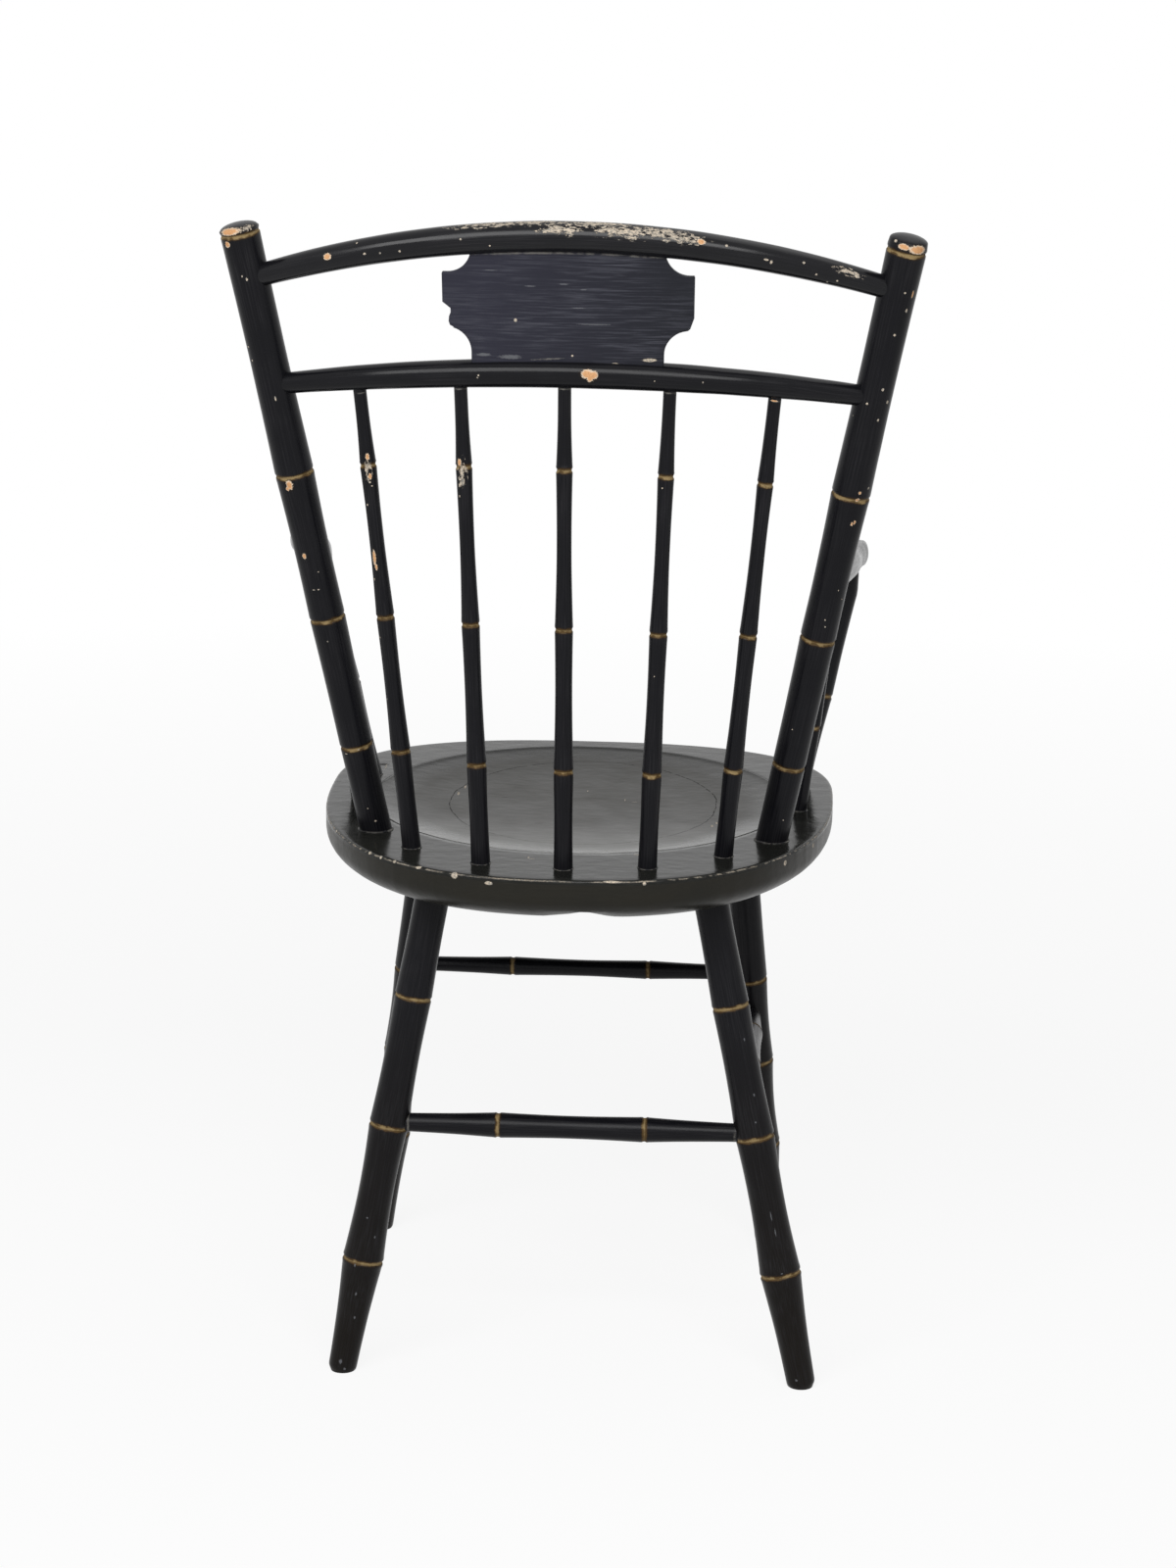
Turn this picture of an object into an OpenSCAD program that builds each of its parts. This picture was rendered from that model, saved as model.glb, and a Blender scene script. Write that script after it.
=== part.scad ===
// Windsor armchair of bamboo-turned sticks: a plank seat, a bowed back of two rails
// with a tablet between them, two arms, four splayed legs and a box of stretchers.
// Millimetres. Z is up, the floor is Z = 0, the sitter looks towards -Y and has +X on the left.

/* [Seat plank] */
// Width of the plank at its widest
seat_w = 416; // [390:1:450]
// Depth of the plank from the front edge to the back rim
seat_d = 437; // [410:1:470]
// Thickness of the plank
seat_t = 38.5; // [34:0.5:46]
// Height of the back rim above the floor
seat_h = 424; // [400:1:470]
// How much the plank rises to the front, in degrees
seat_tilt = 1.6; // [0:0.1:4]
// Height of the square part of the edge, above the rounded underside
seat_edge = 12; // [10:1:24]
// How far the rounded underside runs in from the edge
seat_bevel = 45; // [30:1:60]
// Rounding of the top corner of the edge
seat_round = 2.5; // [1:0.5:5]
// Radius of the hollowed sitting area
dish_r = 171; // [150:1:173]
// Depth of the hollow at its middle
dish_d = 9; // [4:0.5:14]
// Width of the line cut round the hollow
deck_line = 2.4; // [1.5:0.1:4]

/* [Back posts] */
// Distance of a post's foot from the side of the seat
post_from_side = 50; // [44:1:58]
// Distance of a post's foot from the back rim
post_from_rim = 130; // [120:1:145]
// How far a post's top stands outside its foot
post_splay = 87; // [70:1:105]
// How far a post's top lies behind its foot
post_lean = 97; // [70:1:115]
// How much nearer to the middle the left post's foot stands than the right one's
left_foot_in = 3; // [0:0.5:4]
// How much nearer to the middle the left post's top stands than the right one's
left_top_in = 1; // [0:0.5:3]
// Height of the posts' tops above the floor
post_top_z = 902; // [890:1:930]
// Radius of a post at its top
post_top_r = 14.8; // [13.5:0.1:16]
// Radius of a post at the seat
post_foot_r = 12.8; // [12:0.1:14.5]
// Radius of the tenon at a post's foot
post_tenon_r = 9.5; // [8:0.1:11]

/* [Rails] */
// Height of the top rail where it enters the posts
top_rail_z = 865; // [850:1:872]
// Rise of the top rail at its middle
top_rail_rise = 38; // [20:1:45]
// Radius of the top rail at its middle
top_rail_r = 11.2; // [10:0.1:13]
// Radius of the top rail at the posts
top_rail_end_r = 8.4; // [7:0.1:9.5]
// Height of the middle rail where it enters the posts
mid_rail_z = 785.5; // [772:0.5:795]
// Rise of the middle rail at its middle
mid_rail_rise = 18; // [8:1:24]
// Radius of the middle rail at its middle
mid_rail_r = 10.7; // [10:0.1:12.5]
// Radius of the middle rail at the posts
mid_rail_end_r = 7.8; // [7:0.1:9.5]
// How far the rails bow backwards at their middle
rail_bow = 50; // [40:1:60]

/* [Tablet] */
// Width of the tablet over its side lobes
tablet_w = 183; // [160:1:200]
// Height of the side lobes
tablet_lobe_h = 40; // [30:1:46]
// Radius of the hollow corners
tablet_corner = 18; // [14:0.5:20]
// Small step between a hollow corner and a side lobe
tablet_step = 3.5; // [2:0.5:6]
// Thickness of the tablet
tablet_t = 9; // [6:0.5:11]
// Depth of the tablet in the rails' grooves
tablet_seat = 4; // [3:0.5:5]
// Height of the lobes' middle above the middle of the tablet
lobe_lift = 3; // [0:0.5:6]

/* [Back spindles] */
// Distance of the outer pair's feet from the side of the seat
outer_from_side = 87; // [82:0.5:92]
// Distance of the inner pair's feet from the middle, as a share of the outer pair's
inner_foot_share = 0.527; // [0.47:0.001:0.55]
// Distance of the outer pair's tops from the middle, as a share of the rail's half width
outer_top_share = 0.6886; // [0.63:0.0001:0.7]
// Distance of the inner pair's tops from the middle, as a share of the rail's half width
inner_top_share = 0.3443; // [0.31:0.0001:0.37]
// How far the tops stand off the middle, to the left
spindle_tops_off = 2; // [0:0.5:4]
// Distance of the spindles' line from the edge of the seat
spindle_inset = 33; // [28:1:38]
// Radius of a spindle at the seat
spindle_foot_r = 7.4; // [6.5:0.1:8.5]
// Radius of a spindle at the middle rail
spindle_top_r = 4.9; // [4.2:0.1:6]
// Depth of the spindles' tenons in the seat
spindle_tenon = 18; // [14:1:20]

/* [Arms] */
// Height of the arms' middle line where they enter the posts
arm_z = 637; // [620:1:655]
// Drop of an arm from the post to the hand
arm_drop = 21; // [0:1:40]
// Length of an arm from the post to the middle of the hand, front to back
arm_reach = 306; // [280:1:315]
// How far the left hand stands outside its post joint
arm_flare_left = 51; // [10:0.5:54]
// How far the right hand stands outside its post joint
arm_flare_right = 22.5; // [10:0.5:44]
// How far the left arm bows outwards between the post and the hand
arm_bow_left = -3.8; // [-5:0.1:8]
// How far the right arm bows outwards between the post and the hand
arm_bow_right = -0.5; // [-5:0.1:8]
// How far the left arm sways outwards in its back half and inwards in its front half
arm_sway_left = 2.7; // [-4:0.1:4]
// How far the right arm sways outwards in its back half and inwards in its front half
arm_sway_right = -3.3; // [-4:0.1:4]
// Thickness of an arm
arm_t = 20; // [18:1:24]
// Radius of the hand at the end of an arm
hand_r = 15; // [14:0.5:19]
// Radius of the tenon at the back of an arm
arm_tenon_r = 6.5; // [5.5:0.1:7]

/* [Arm supports] */
// Distance of a stump's foot from the side of the seat
stump_from_side = 28.5; // [25:0.5:34]
// Distance of a stump's foot from the seat's front edge
stump_from_front = 135; // [115:1:150]
// How far a stump's top lies in front of its foot
stump_rake = 15; // [0:1:30]
// Radius of a stump at its ring
stump_r = 10.5; // [9:0.1:11.5]
// Radius of a stump at the seat
stump_foot_r = 9.4; // [8:0.1:10.5]
// Radius of a stump at its crown, the widest place below the arm
stump_crown_r = 11; // [10:0.1:12]
// Radius of a stump at the arm
stump_top_r = 8.5; // [7:0.1:9.5]
// Distance of the crown below the arm
stump_crown = 17; // [10:1:24]
// Radius of the tenons of a stump
stump_tenon_r = 6; // [5:0.1:6.5]
// Distance of an arm spindle's foot from the side of the seat
arm_spindle_from_side = 28; // [20:0.5:29]
// Distance of an arm spindle's foot from the seat's front edge
arm_spindle_from_front = 215; // [205:1:240]
// Radius of an arm spindle at its ring
arm_spindle_r = 6.1; // [5.6:0.1:7.4]

/* [Legs] */
// Distance of a rear leg's top from the side of the seat
rear_from_side = 99.5; // [90:0.5:108]
// Distance of a rear leg's top from the back rim
rear_top_from_rim = 98; // [85:1:105]
// How far a rear foot stands outside its leg's top
rear_splay = 75; // [55:1:90]
// How far a rear foot stands behind its leg's top
rear_rake = 41; // [20:1:55]
// How far the pair of rear legs' tops stands off the middle, to the right
rear_tops_off = 3; // [0:0.5:4]
// How far the pair of rear feet stands off the middle, to the right
rear_feet_off = 10; // [0:0.5:12]
// Distance of a front leg's top from the side of the seat
front_from_side = 77; // [68:1:83]
// Distance of a front leg's top from the seat's front edge
front_top_from_front = 119; // [105:1:125]
// How far a front foot stands outside its leg's top
front_splay = 42; // [24:1:54]
// How far a front foot stands in front of its leg's top
front_rake = 60; // [40:1:75]
// How far the pair of front feet stands off the middle, to the left
front_feet_off = 8; // [0:0.5:10]
// Radius of a leg at the seat
leg_top_r = 13.7; // [12.5:0.1:15]
// Radius of a leg at its lowest ring
leg_ring_r = 16.3; // [15:0.1:18]
// Radius of a foot
foot_r = 11.3; // [10:0.1:13]
// Radius of the tenon at a leg's top
leg_tenon_r = 11; // [9:0.1:12]

/* [Stretchers] */
// Height of the back stretcher
back_stretcher_z = 202; // [190:1:225]
// Height of the front stretcher
front_stretcher_z = 257; // [250:1:290]
// Height of the side stretchers at the rear legs
side_stretcher_z = 236; // [232:1:245]
// Height of the side stretchers at the front legs
side_stretcher_front_z = 220; // [210:1:228]
// Radius of the back and side stretchers at their rings
stretcher_r = 10; // [9:0.1:11]
// Radius of the back and side stretchers at the legs
stretcher_end_r = 7.4; // [6.5:0.1:8]
// Radius of the front stretcher at its rings
front_stretcher_r = 8; // [7:0.1:9]
// Radius of the front stretcher at the legs
front_stretcher_end_r = 6.3; // [5.5:0.1:7]

/* [Joints and rings] */
// Gap round every tenon, on the radius
fit = 0.15; // [0.1:0.05:0.3]
// Gap between a scribed shoulder and the wood that it meets
shoulder_gap = 0.2; // [0.1:0.05:0.3]
// Depth of the posts', stumps' and legs' tenons in the seat
seat_tenon = 26; // [20:1:30]
// Depth of a ring's groove
ring_depth = 0.7; // [0.4:0.1:1.2]
// Half the width of a ring's groove
ring_half = 1.4; // [1:0.1:2.5]
// Deepest hollow of a post, spindle or stretcher between two rings
waist = 1.0; // [0.4:0.1:1.6]
// Deepest hollow of a leg between two rings
leg_waist = 2.0; // [0.8:0.1:2.4]
// Rounding of the lower edge of a foot
foot_round = 4; // [2:0.5:5]

/* [Hidden] */

paint = [0.09, 0.09, 0.1];
seat_paint = [0.13, 0.13, 0.13];

left = 1;
right = -1;
round_steps = 48;
sweep_sides = 20;
sweep_rings = 26;
bay_steps = 8;
end_room = 1; // free depth past the end of a tenon in its socket
tenon_root = 12; // how far a tenon's cylinder runs on inside its own stick
shoulder_run = 12; // how far a stick is turned past its shoulder before it is scribed
mouth = 30; // how far a socket's cutter reaches out of the wood
layer = 0.01; // thin layer that shapes the plank's hull
far = 600; // reach of the blocks that scribe shoulders

// Seat outline: two half superellipses that meet at the widest line
wide_share = 0.36; // share of the depth in front of the widest line
back_power = 2.45;
front_power = 2.6;
seat_half = seat_w / 2;
back_axis = seat_d * (1 - wide_share);
front_axis = seat_d * wide_share;
back_y = back_axis;
front_y = -front_axis;
dish_y = 35; // middle of the hollow behind the widest line
function deck_z(y) = seat_h + (back_y - y) * tan(seat_tilt);
function under_z(y) = deck_z(y) - seat_t / cos(seat_tilt);

function outline_y(x, inset) =
    (back_axis - inset) * pow(1 - pow(abs(x) / (seat_half - inset), back_power), 1 / back_power);
function signed_pow(v, p) = sign(v) * pow(abs(v), p);
function outline(inset) = [
    for (i = [0 : 95])
        let (
            a = i * 360 / 96,
            power = sin(a) >= 0 ? back_power : front_power,
            reach = sin(a) >= 0 ? back_axis : front_axis
        )
        [(seat_half - inset) * signed_pow(cos(a), 2 / power),
         (reach - inset) * signed_pow(sin(a), 2 / power)]
];

// Middle lines of the sticks
function mix(p, q, share) = p + (q - p) * share;
function at_height(p, q, z) = mix(p, q, (z - p[2]) / (q[2] - p[2]));
function mirrored(side, p) = [side * p[0], p[1], p[2]];

post_foot_x = seat_half - post_from_side;
post_top_x = post_foot_x + post_splay;
post_foot_y = back_y - post_from_rim;
post_foot = [post_foot_x, post_foot_y, deck_z(post_foot_y)];
post_top = [post_top_x, post_foot_y + post_lean, post_top_z];
function foot_of_post(side) = mirrored(side, post_foot) - [side == left ? left_foot_in : 0, 0, 0];
function top_of_post(side) = mirrored(side, post_top) - [side == left ? left_top_in : 0, 0, 0];
post_rings = [0.144, 0.364, 0.605, 0.985]; // shares of the post's length above the seat
post_ring_lift = 0.008; // how much higher the left post's rings sit, and how much lower the right post's
post_ring_growth = [0.05, 0.48, 1, 1]; // how far each ring has grown from the foot's radius to the top's
post_bays = [0.3, 0.3, 0.75, 0.8]; // share of the deepest hollow below each ring
post_ring_r = [for (share = post_ring_growth) mix(post_foot_r, post_top_r, share)];
post_dome = 4; // height of the rounded top end
post_cap_r = post_top_r - 0.6;

rear_top_x = seat_half - rear_from_side;
rear_foot_x = rear_top_x + rear_splay;
front_top_x = seat_half - front_from_side;
front_foot_x = front_top_x + front_splay;
rear_top_y = back_y - rear_top_from_rim;
function rear_top(side) = [side * rear_top_x - rear_tops_off, rear_top_y, under_z(rear_top_y)];
function rear_foot(side) = [side * rear_foot_x - rear_feet_off, rear_top_y + rear_rake, 0];
front_top_y = front_y + front_top_from_front;
front_top = [front_top_x, front_top_y, under_z(front_top_y)];
function front_foot(side) = [side * front_foot_x + front_feet_off, front_top_y - front_rake, 0];
leg_ring_shares = [0, 0.45, 1]; // how far the three rings have grown to the full radius
rear_rings = [0.22, 0.486, 0.766]; // shares of a leg's length below the seat
front_rings = [0.358, 0.552, 0.755];
leg_bays = [0.25, 0.6, 1, 0.45]; // share of a leg's deepest hollow above each ring and above the foot
leg_seam = 90; // turn of a leg's body about its own axis, in degrees

rail_tenon_past = 5; // how far a rail's tenon passes the post's middle line
rail_overlap = 3; // how far the bowed part of a rail reaches into a post
rail_shoulder = 1; // step from a rail's end to its tenon

// A rail is a bow between the posts: share -1 is the right post, 1 the left post
function rail_end(z) = at_height(post_foot, post_top, z);
function rail_at(share, z, rise) = [
    rail_end(z)[0] * share,
    rail_end(z)[1] + rail_bow * (1 - share * share),
    z + rise * (1 - share * share)
];
function rail_limit(z) = 1 - (post_top_r - rail_overlap) / rail_end(z)[0];
function rail_r_at(share, z, mid_r, end_r) =
    end_r + (mid_r - end_r) * (1 - pow(share / rail_limit(z), 2));
function rail_share(x, z) = x / rail_end(z)[0];
top_reach = rail_end(top_rail_z)[1] + rail_bow + top_rail_r;
frame_y = (top_reach + front_y) / 2; // middle of the chair, front to back

outer_foot_x = seat_half - outer_from_side;
spindle_feet = [0, outer_foot_x * inner_foot_share, outer_foot_x];
spindle_tops = [0, inner_top_share, outer_top_share] * rail_end(mid_rail_z)[0];
function spindle_foot(i) =
    let (x = sign(i) * spindle_feet[abs(i)], y = outline_y(x, spindle_inset))
    [x, y, deck_z(y)];
function spindle_top(i) =
    let (x = sign(i) * spindle_tops[abs(i)] + spindle_tops_off)
    rail_at(rail_share(x, mid_rail_z), mid_rail_z, mid_rail_rise);

function flare(side) = side == left ? arm_flare_left : arm_flare_right;
function arm_bow(side) = side == left ? arm_bow_left : arm_bow_right;
function arm_sway(side) = side == left ? arm_sway_left : arm_sway_right;
function arm_joint(side) = at_height(foot_of_post(side), top_of_post(side), arm_z);
arm_joint_y = arm_joint(right)[1];
arm_height = (arm_z - post_foot[2]) / (post_top_z - post_foot[2]);
function post_ring(side, k) = post_rings[k] + (k < 3 ? side * post_ring_lift : 0);
function arm_bay(side) = (arm_height - post_ring(side, 1)) / (post_ring(side, 2) - post_ring(side, 1));
function post_arm_r(side) =
    mix(post_ring_r[1], post_ring_r[2], arm_bay(side)) - waist * post_bays[2] * sin(180 * arm_bay(side));
function arm_out(side, share) =
    flare(side) * share + arm_bow(side) * sin(180 * share) + arm_sway(side) * sin(360 * share);
function arm_at(side, share) = [
    arm_joint(side)[0] + side * arm_out(side, share),
    arm_joint_y - arm_reach * share,
    arm_z - arm_drop * share
];
function arm_share(y) = (arm_joint_y - y) / arm_reach;
// Half the width of an arm along its length: narrow at the post and at the neck, wide at the hand
arm_widths = [
    [0.04, 10], [0.2, 11.5], [0.42, 12.5], [0.62, 11.5], [0.8, 10.5], [0.89, 12.5], [0.95, 15], [1, hand_r]
];
arm_edge = 5; // rounding of an arm's edges, seen from above
arm_tenon_up = 13; // depth of the upright tenons in an arm
arm_spindle_top_r = 4.8;

stump_foot_y = front_y + stump_from_front;
stump_foot = [seat_half - stump_from_side, stump_foot_y, deck_z(stump_foot_y)];
stump_top_y = stump_foot_y - stump_rake;
stump_ring = 0.43; // share of a stump's length above the seat
arm_spindle_ring = 0.37; // the same for an arm spindle
arm_spindle_y = front_y + arm_spindle_from_front;
arm_spindle_foot = [seat_half - arm_spindle_from_side, arm_spindle_y, deck_z(arm_spindle_y)];
function stump_top(side) = arm_at(side, arm_share(stump_top_y)) - [0, 0, arm_t / 2];
function arm_spindle_top(side) = arm_at(side, arm_share(arm_spindle_y)) - [0, 0, arm_t / 2];

// Stretchers run between points on the legs' middle lines
function rear_leg_at(side, z) = at_height(rear_foot(side), rear_top(side), z);
function front_leg_at(side, z) = at_height(front_foot(side), mirrored(side, front_top), z);
stretcher_past = 5; // how far a stretcher's tenon passes the leg's middle line
stretcher_ring = 0.3; // share of a stretcher's length from a leg's middle line to the nearer ring
stretcher_root = leg_ring_r + 2; // where a stretcher starts to swell, from the leg's middle line

// Moves the chair so that the middle of its plan lies on the Z axis
module in_frame() translate([0, -frame_y, 0]) children();

// Turns the Z axis onto the line from p to q
module aim(p, q) {
    d = q - p;
    translate(p) rotate([0, acos(d[2] / norm(d)), atan2(d[1], d[0])]) children();
}

// The plank's own plane: origin on the back rim, Z square to the top face
module on_plank() translate([0, back_y, seat_h]) rotate([-seat_tilt, 0, 0]) children();

// Everything below the deck, or above the underside, for cutting scribed shoulders
module below_deck() on_plank() translate([-far, -far, shoulder_gap - far]) cube([2 * far, 2 * far, far]);
module above_underside()
    on_plank() translate([-far, -far, -seat_t - shoulder_gap]) cube([2 * far, 2 * far, far]);
// Everything above the underside of the arms
module above_arms()
    translate([0, arm_joint_y, arm_z - arm_t / 2 - shoulder_gap])
        rotate([atan(arm_drop / arm_reach), 0, 0]) translate([-far, -far, 0]) cube([2 * far, 2 * far, far]);

function groove(z, r) = [
    [r, z - ring_half], [r - ring_depth, z - ring_half / 2],
    [r - ring_depth, z + ring_half / 2], [r, z + ring_half]
];
function bay(z0, r0, z1, r1, hollow) = [
    for (i = [1 : bay_steps - 1])
        let (u = i / bay_steps)
        [r0 + (r1 - r0) * u - hollow * sin(180 * u), z0 + (z1 - z0) * u]
];

// Stations of a turned stick: height, radius, ring or not, hollow of the bay that follows
function ringed(z, r, hollow) = [z, r, true, hollow];
function plain(z, r, hollow = 0) = [z, r, false, hollow];

function half_section(stations) =
    let (last = len(stations) - 1)
    [
        for (k = [0 : last])
            let (z = stations[k][0], r = stations[k][1], hollow = stations[k][3])
            each concat(
                stations[k][2] ? groove(z, r) : [[r, z]],
                k == last || hollow == 0 ? [] : bay(z, r, stations[k + 1][0], stations[k + 1][1], hollow)
            )
    ];

module turned(stations) {
    last = stations[len(stations) - 1];
    rotate_extrude($fn = round_steps)
        polygon(concat([[0, stations[0][0]]], half_section(stations), [[0, last[0]]]));
}

module rod(r, z0, z1) translate([0, 0, z0]) cylinder(r = r, h = z1 - z0, $fn = round_steps);

// Socket for a tenon that enters at p on the line from p to q, away from q
module socket(p, q, r, depth) aim(p, q) rod(r + fit, -depth - end_room, mouth);

// A bowed stick of round section as one closed shell
module bowed(z, rise, mid_r, end_r) {
    limit = rail_limit(z);
    plane_normal = cross([1, 0, 0], [0, rail_bow, rise] / norm([rail_bow, rise]));
    points = [
        for (k = [0 : sweep_rings])
            let (
                share = limit * (2 * k / sweep_rings - 1),
                slope = [rail_end(z)[0], -2 * rail_bow * share, -2 * rise * share],
                across = cross(plane_normal, slope / norm(slope)),
                r = rail_r_at(share, z, mid_r, end_r)
            )
            for (j = [0 : sweep_sides - 1])
                let (a = j * 360 / sweep_sides)
                rail_at(share, z, rise) + r * (cos(a) * across + sin(a) * plane_normal)
    ];
    last = sweep_rings * sweep_sides;
    sides = [
        for (k = [0 : sweep_rings - 1], j = [0 : sweep_sides - 1])
            let (a = k * sweep_sides + j, b = k * sweep_sides + (j + 1) % sweep_sides)
            each [[b + sweep_sides, b, a], [a + sweep_sides, b + sweep_sides, a]]
    ];
    first_cap = [for (j = [0 : sweep_sides - 1]) j];
    last_cap = [for (j = [sweep_sides - 1 : -1 : 0]) last + j];
    polyhedron(points, concat(sides, [first_cap, last_cap]));
}

// The straight round ends of a rail, or, with a gap round them, their sockets in the posts
module rail_tenons(z, rise, end_r, gap) {
    for (side = [left, right]) {
        tip = rail_at(side, z, rise);
        inner = rail_at(side * rail_limit(z), z, rise);
        neck = norm(inner - tip);
        room = gap > 0 ? end_room : 0;
        aim(tip, inner) rod(end_r - rail_shoulder + gap, -rail_tenon_past - room, neck + rail_overlap);
        if (gap > 0) aim(tip, inner) rod(end_r + gap, neck - room, neck + mouth);
    }
}

module rail(z, rise, mid_r, end_r) {
    bowed(z, rise, mid_r, end_r);
    rail_tenons(z, rise, end_r, 0);
}

// The tablet as a bent board; grow widens it on every face, for the grooves in the rails
tablet_lean = atan(
    (rail_at(0, top_rail_z, 0)[1] - rail_at(0, mid_rail_z, 0)[1])
    / (top_rail_z + top_rail_rise - mid_rail_z - mid_rail_rise)
);
bend_r = pow(rail_end(top_rail_z)[0], 2) / (2 * rail_bow);
bend_low = 60; // how far the bent slab starts below the middle rail
function top_of_tablet(x) =
    let (s = rail_share(x, top_rail_z), r = rail_r_at(s, top_rail_z, top_rail_r, top_rail_end_r))
    rail_at(s, top_rail_z, top_rail_rise)[2] - r + tablet_seat;
function foot_of_tablet(x) =
    let (s = rail_share(x, mid_rail_z), r = rail_r_at(s, mid_rail_z, mid_rail_r, mid_rail_end_r))
    rail_at(s, mid_rail_z, mid_rail_rise)[2] + r - tablet_seat;

tablet_half = tablet_w / 2;
shoulder_x = tablet_half - tablet_corner - tablet_step;
lobe_mid = (top_of_tablet(0) + foot_of_tablet(0)) / 2 + lobe_lift;
corner_steps = 8;
chip = [5, 14]; // depth and height of the piece broken out of the left lobe

// One half of the tablet's outline, from the foot to the top
function half_outline(grow) =
    let (lobe_low = lobe_mid - tablet_lobe_h / 2, lobe_high = lobe_mid + tablet_lobe_h / 2)
    concat(
        [[shoulder_x + grow, foot_of_tablet(shoulder_x) - grow]],
        [
            for (i = [0 : corner_steps])
                let (a = 180 - i * 90 / corner_steps)
                [shoulder_x + tablet_corner + tablet_corner * cos(a) + grow,
                 lobe_low - tablet_corner + tablet_corner * sin(a)]
        ],
        [[tablet_half + grow, lobe_low], [tablet_half + grow, lobe_high]],
        [
            for (i = [corner_steps : -1 : 0])
                let (a = 180 - i * 90 / corner_steps)
                [shoulder_x + tablet_corner + tablet_corner * cos(a) + grow,
                 lobe_high + tablet_corner - tablet_corner * sin(a)]
        ],
        [[shoulder_x + grow, top_of_tablet(shoulder_x) + grow]]
    );
function top_edge(grow) = [for (i = [3 : -1 : -3]) let (x = i * shoulder_x / 4) [x, top_of_tablet(x) + grow]];
function foot_edge(grow) = [for (i = [-3 : 3]) let (x = i * shoulder_x / 4) [x, foot_of_tablet(x) - grow]];
function flipped(points) = [for (i = [len(points) - 1 : -1 : 0]) [-points[i][0], points[i][1]]];

module bent_slab(grow) {
    mid_y = rail_at(0, mid_rail_z, 0)[1];
    translate([0, mid_y, mid_rail_z + mid_rail_rise])
        rotate([-tablet_lean, 0, 0])
            translate([0, -bend_r, -bend_low])
                difference() {
                    cylinder(r = bend_r + tablet_t / 2 + grow, h = 3 * bend_low, $fn = 180);
                    translate([0, 0, -1])
                        cylinder(r = bend_r - tablet_t / 2 - grow, h = 3 * bend_low + 2, $fn = 180);
                }
}

module tablet_board(grow) {
    half = half_outline(grow);
    intersection() {
        bent_slab(grow);
        translate([0, far, 0]) rotate([90, 0, 0]) linear_extrude(far)
            polygon(concat(half, top_edge(grow), flipped(half), foot_edge(grow)));
    }
}

module seat() in_frame() color(seat_paint) difference() {
    on_plank() translate([0, -back_y, 0]) hull() {
        translate([0, 0, -layer]) linear_extrude(layer) polygon(outline(seat_round));
        translate([0, 0, -seat_round - seat_edge]) linear_extrude(seat_edge) polygon(outline(0));
        for (a = [22.5 : 22.5 : 90]) {
            drop = (seat_t - seat_round - seat_edge) * sin(a);
            translate([0, 0, -seat_round - seat_edge - drop])
                linear_extrude(layer) polygon(outline(seat_bevel * (1 - cos(a))));
        }
    }
    on_plank() translate([0, dish_y - back_y, 0]) hollow_cutter();
    for (side = [left, right]) {
        socket(foot_of_post(side), top_of_post(side), post_tenon_r, seat_tenon);
        socket(rear_top(side), rear_foot(side), leg_tenon_r, seat_tenon);
        socket(mirrored(side, front_top), front_foot(side), leg_tenon_r, seat_tenon);
        socket(mirrored(side, stump_foot), stump_top(side), stump_tenon_r, seat_tenon);
        socket(mirrored(side, arm_spindle_foot), arm_spindle_top(side), arm_spindle_r, spindle_tenon);
    }
    for (i = [-2 : 2]) socket(spindle_foot(i), spindle_top(i), spindle_foot_r, spindle_tenon);
}

// The hollow falls off quickly at its rim and is nearly level in the middle
module hollow_cutter() {
    section = [for (i = [0 : 12]) let (u = i / 12) [dish_r * u, -dish_d * (1 - pow(u, 4))]];
    rotate_extrude($fn = 96) polygon(concat(section, [[dish_r, 1], [0, 1]]));
    rotate_extrude($fn = 96)
        polygon([[dish_r - deck_line, 1], [dish_r - deck_line / 2, -deck_line / 2], [dish_r, 1]]);
}

module back_post(side) in_frame() color(paint) {
    foot = foot_of_post(side);
    top = top_of_post(side);
    length = norm(top - foot);
    difference() {
        aim(foot, top) turned(concat(
            [plain(-shoulder_run, post_foot_r, waist * post_bays[0])],
            [
                for (k = [0 : 3])
                    ringed(post_ring(side, k) * length, post_ring_r[k], k == 3 ? 0 : waist * post_bays[k + 1])
            ],
            [for (a = [0 : 15 : 75]) plain(length + post_dome * sin(a), post_cap_r * cos(a))],
            [plain(length + post_dome, 0)]
        ));
        below_deck();
        rail_tenons(top_rail_z, top_rail_rise, top_rail_end_r, fit);
        rail_tenons(mid_rail_z, mid_rail_rise, mid_rail_end_r, fit);
        aim(arm_at(side, 0), arm_at(side, 0.1)) rod(arm_tenon_r + fit, -mouth, mouth);
    }
    aim(foot, top) rod(post_tenon_r, -seat_tenon, tenon_root);
}

module top_rail() in_frame() color(paint) difference() {
    rail(top_rail_z, top_rail_rise, top_rail_r, top_rail_end_r);
    tablet_board(fit);
}

module mid_rail() in_frame() color(paint) difference() {
    rail(mid_rail_z, mid_rail_rise, mid_rail_r, mid_rail_end_r);
    tablet_board(fit);
    for (i = [-2 : 2]) aim(spindle_top(i), spindle_foot(i)) rod(spindle_top_r + fit, 0, 2 * mid_rail_r);
}

module tablet() in_frame() color(paint) difference() {
    tablet_board(0);
    translate([tablet_half - chip[0], 0, lobe_mid - tablet_lobe_h / 2 - 1]) cube([far, far, chip[1]]);
}

spindle_stop = 1; // how far a spindle's tenon stops short of the rail's middle line
spindle_rings = [0.204, 0.494, 0.812]; // shares of a spindle's length above the seat
spindle_ring_lift = 0.0055; // how much higher the rings sit on a spindle than on its right neighbour
spindle_swell = [1.08, 0.8, 0.52]; // how much of the foot's extra radius each ring keeps
spindle_bays = [0.5, 0.8, 1, 0.4]; // share of the deepest hollow below each ring and below the rail

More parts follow.
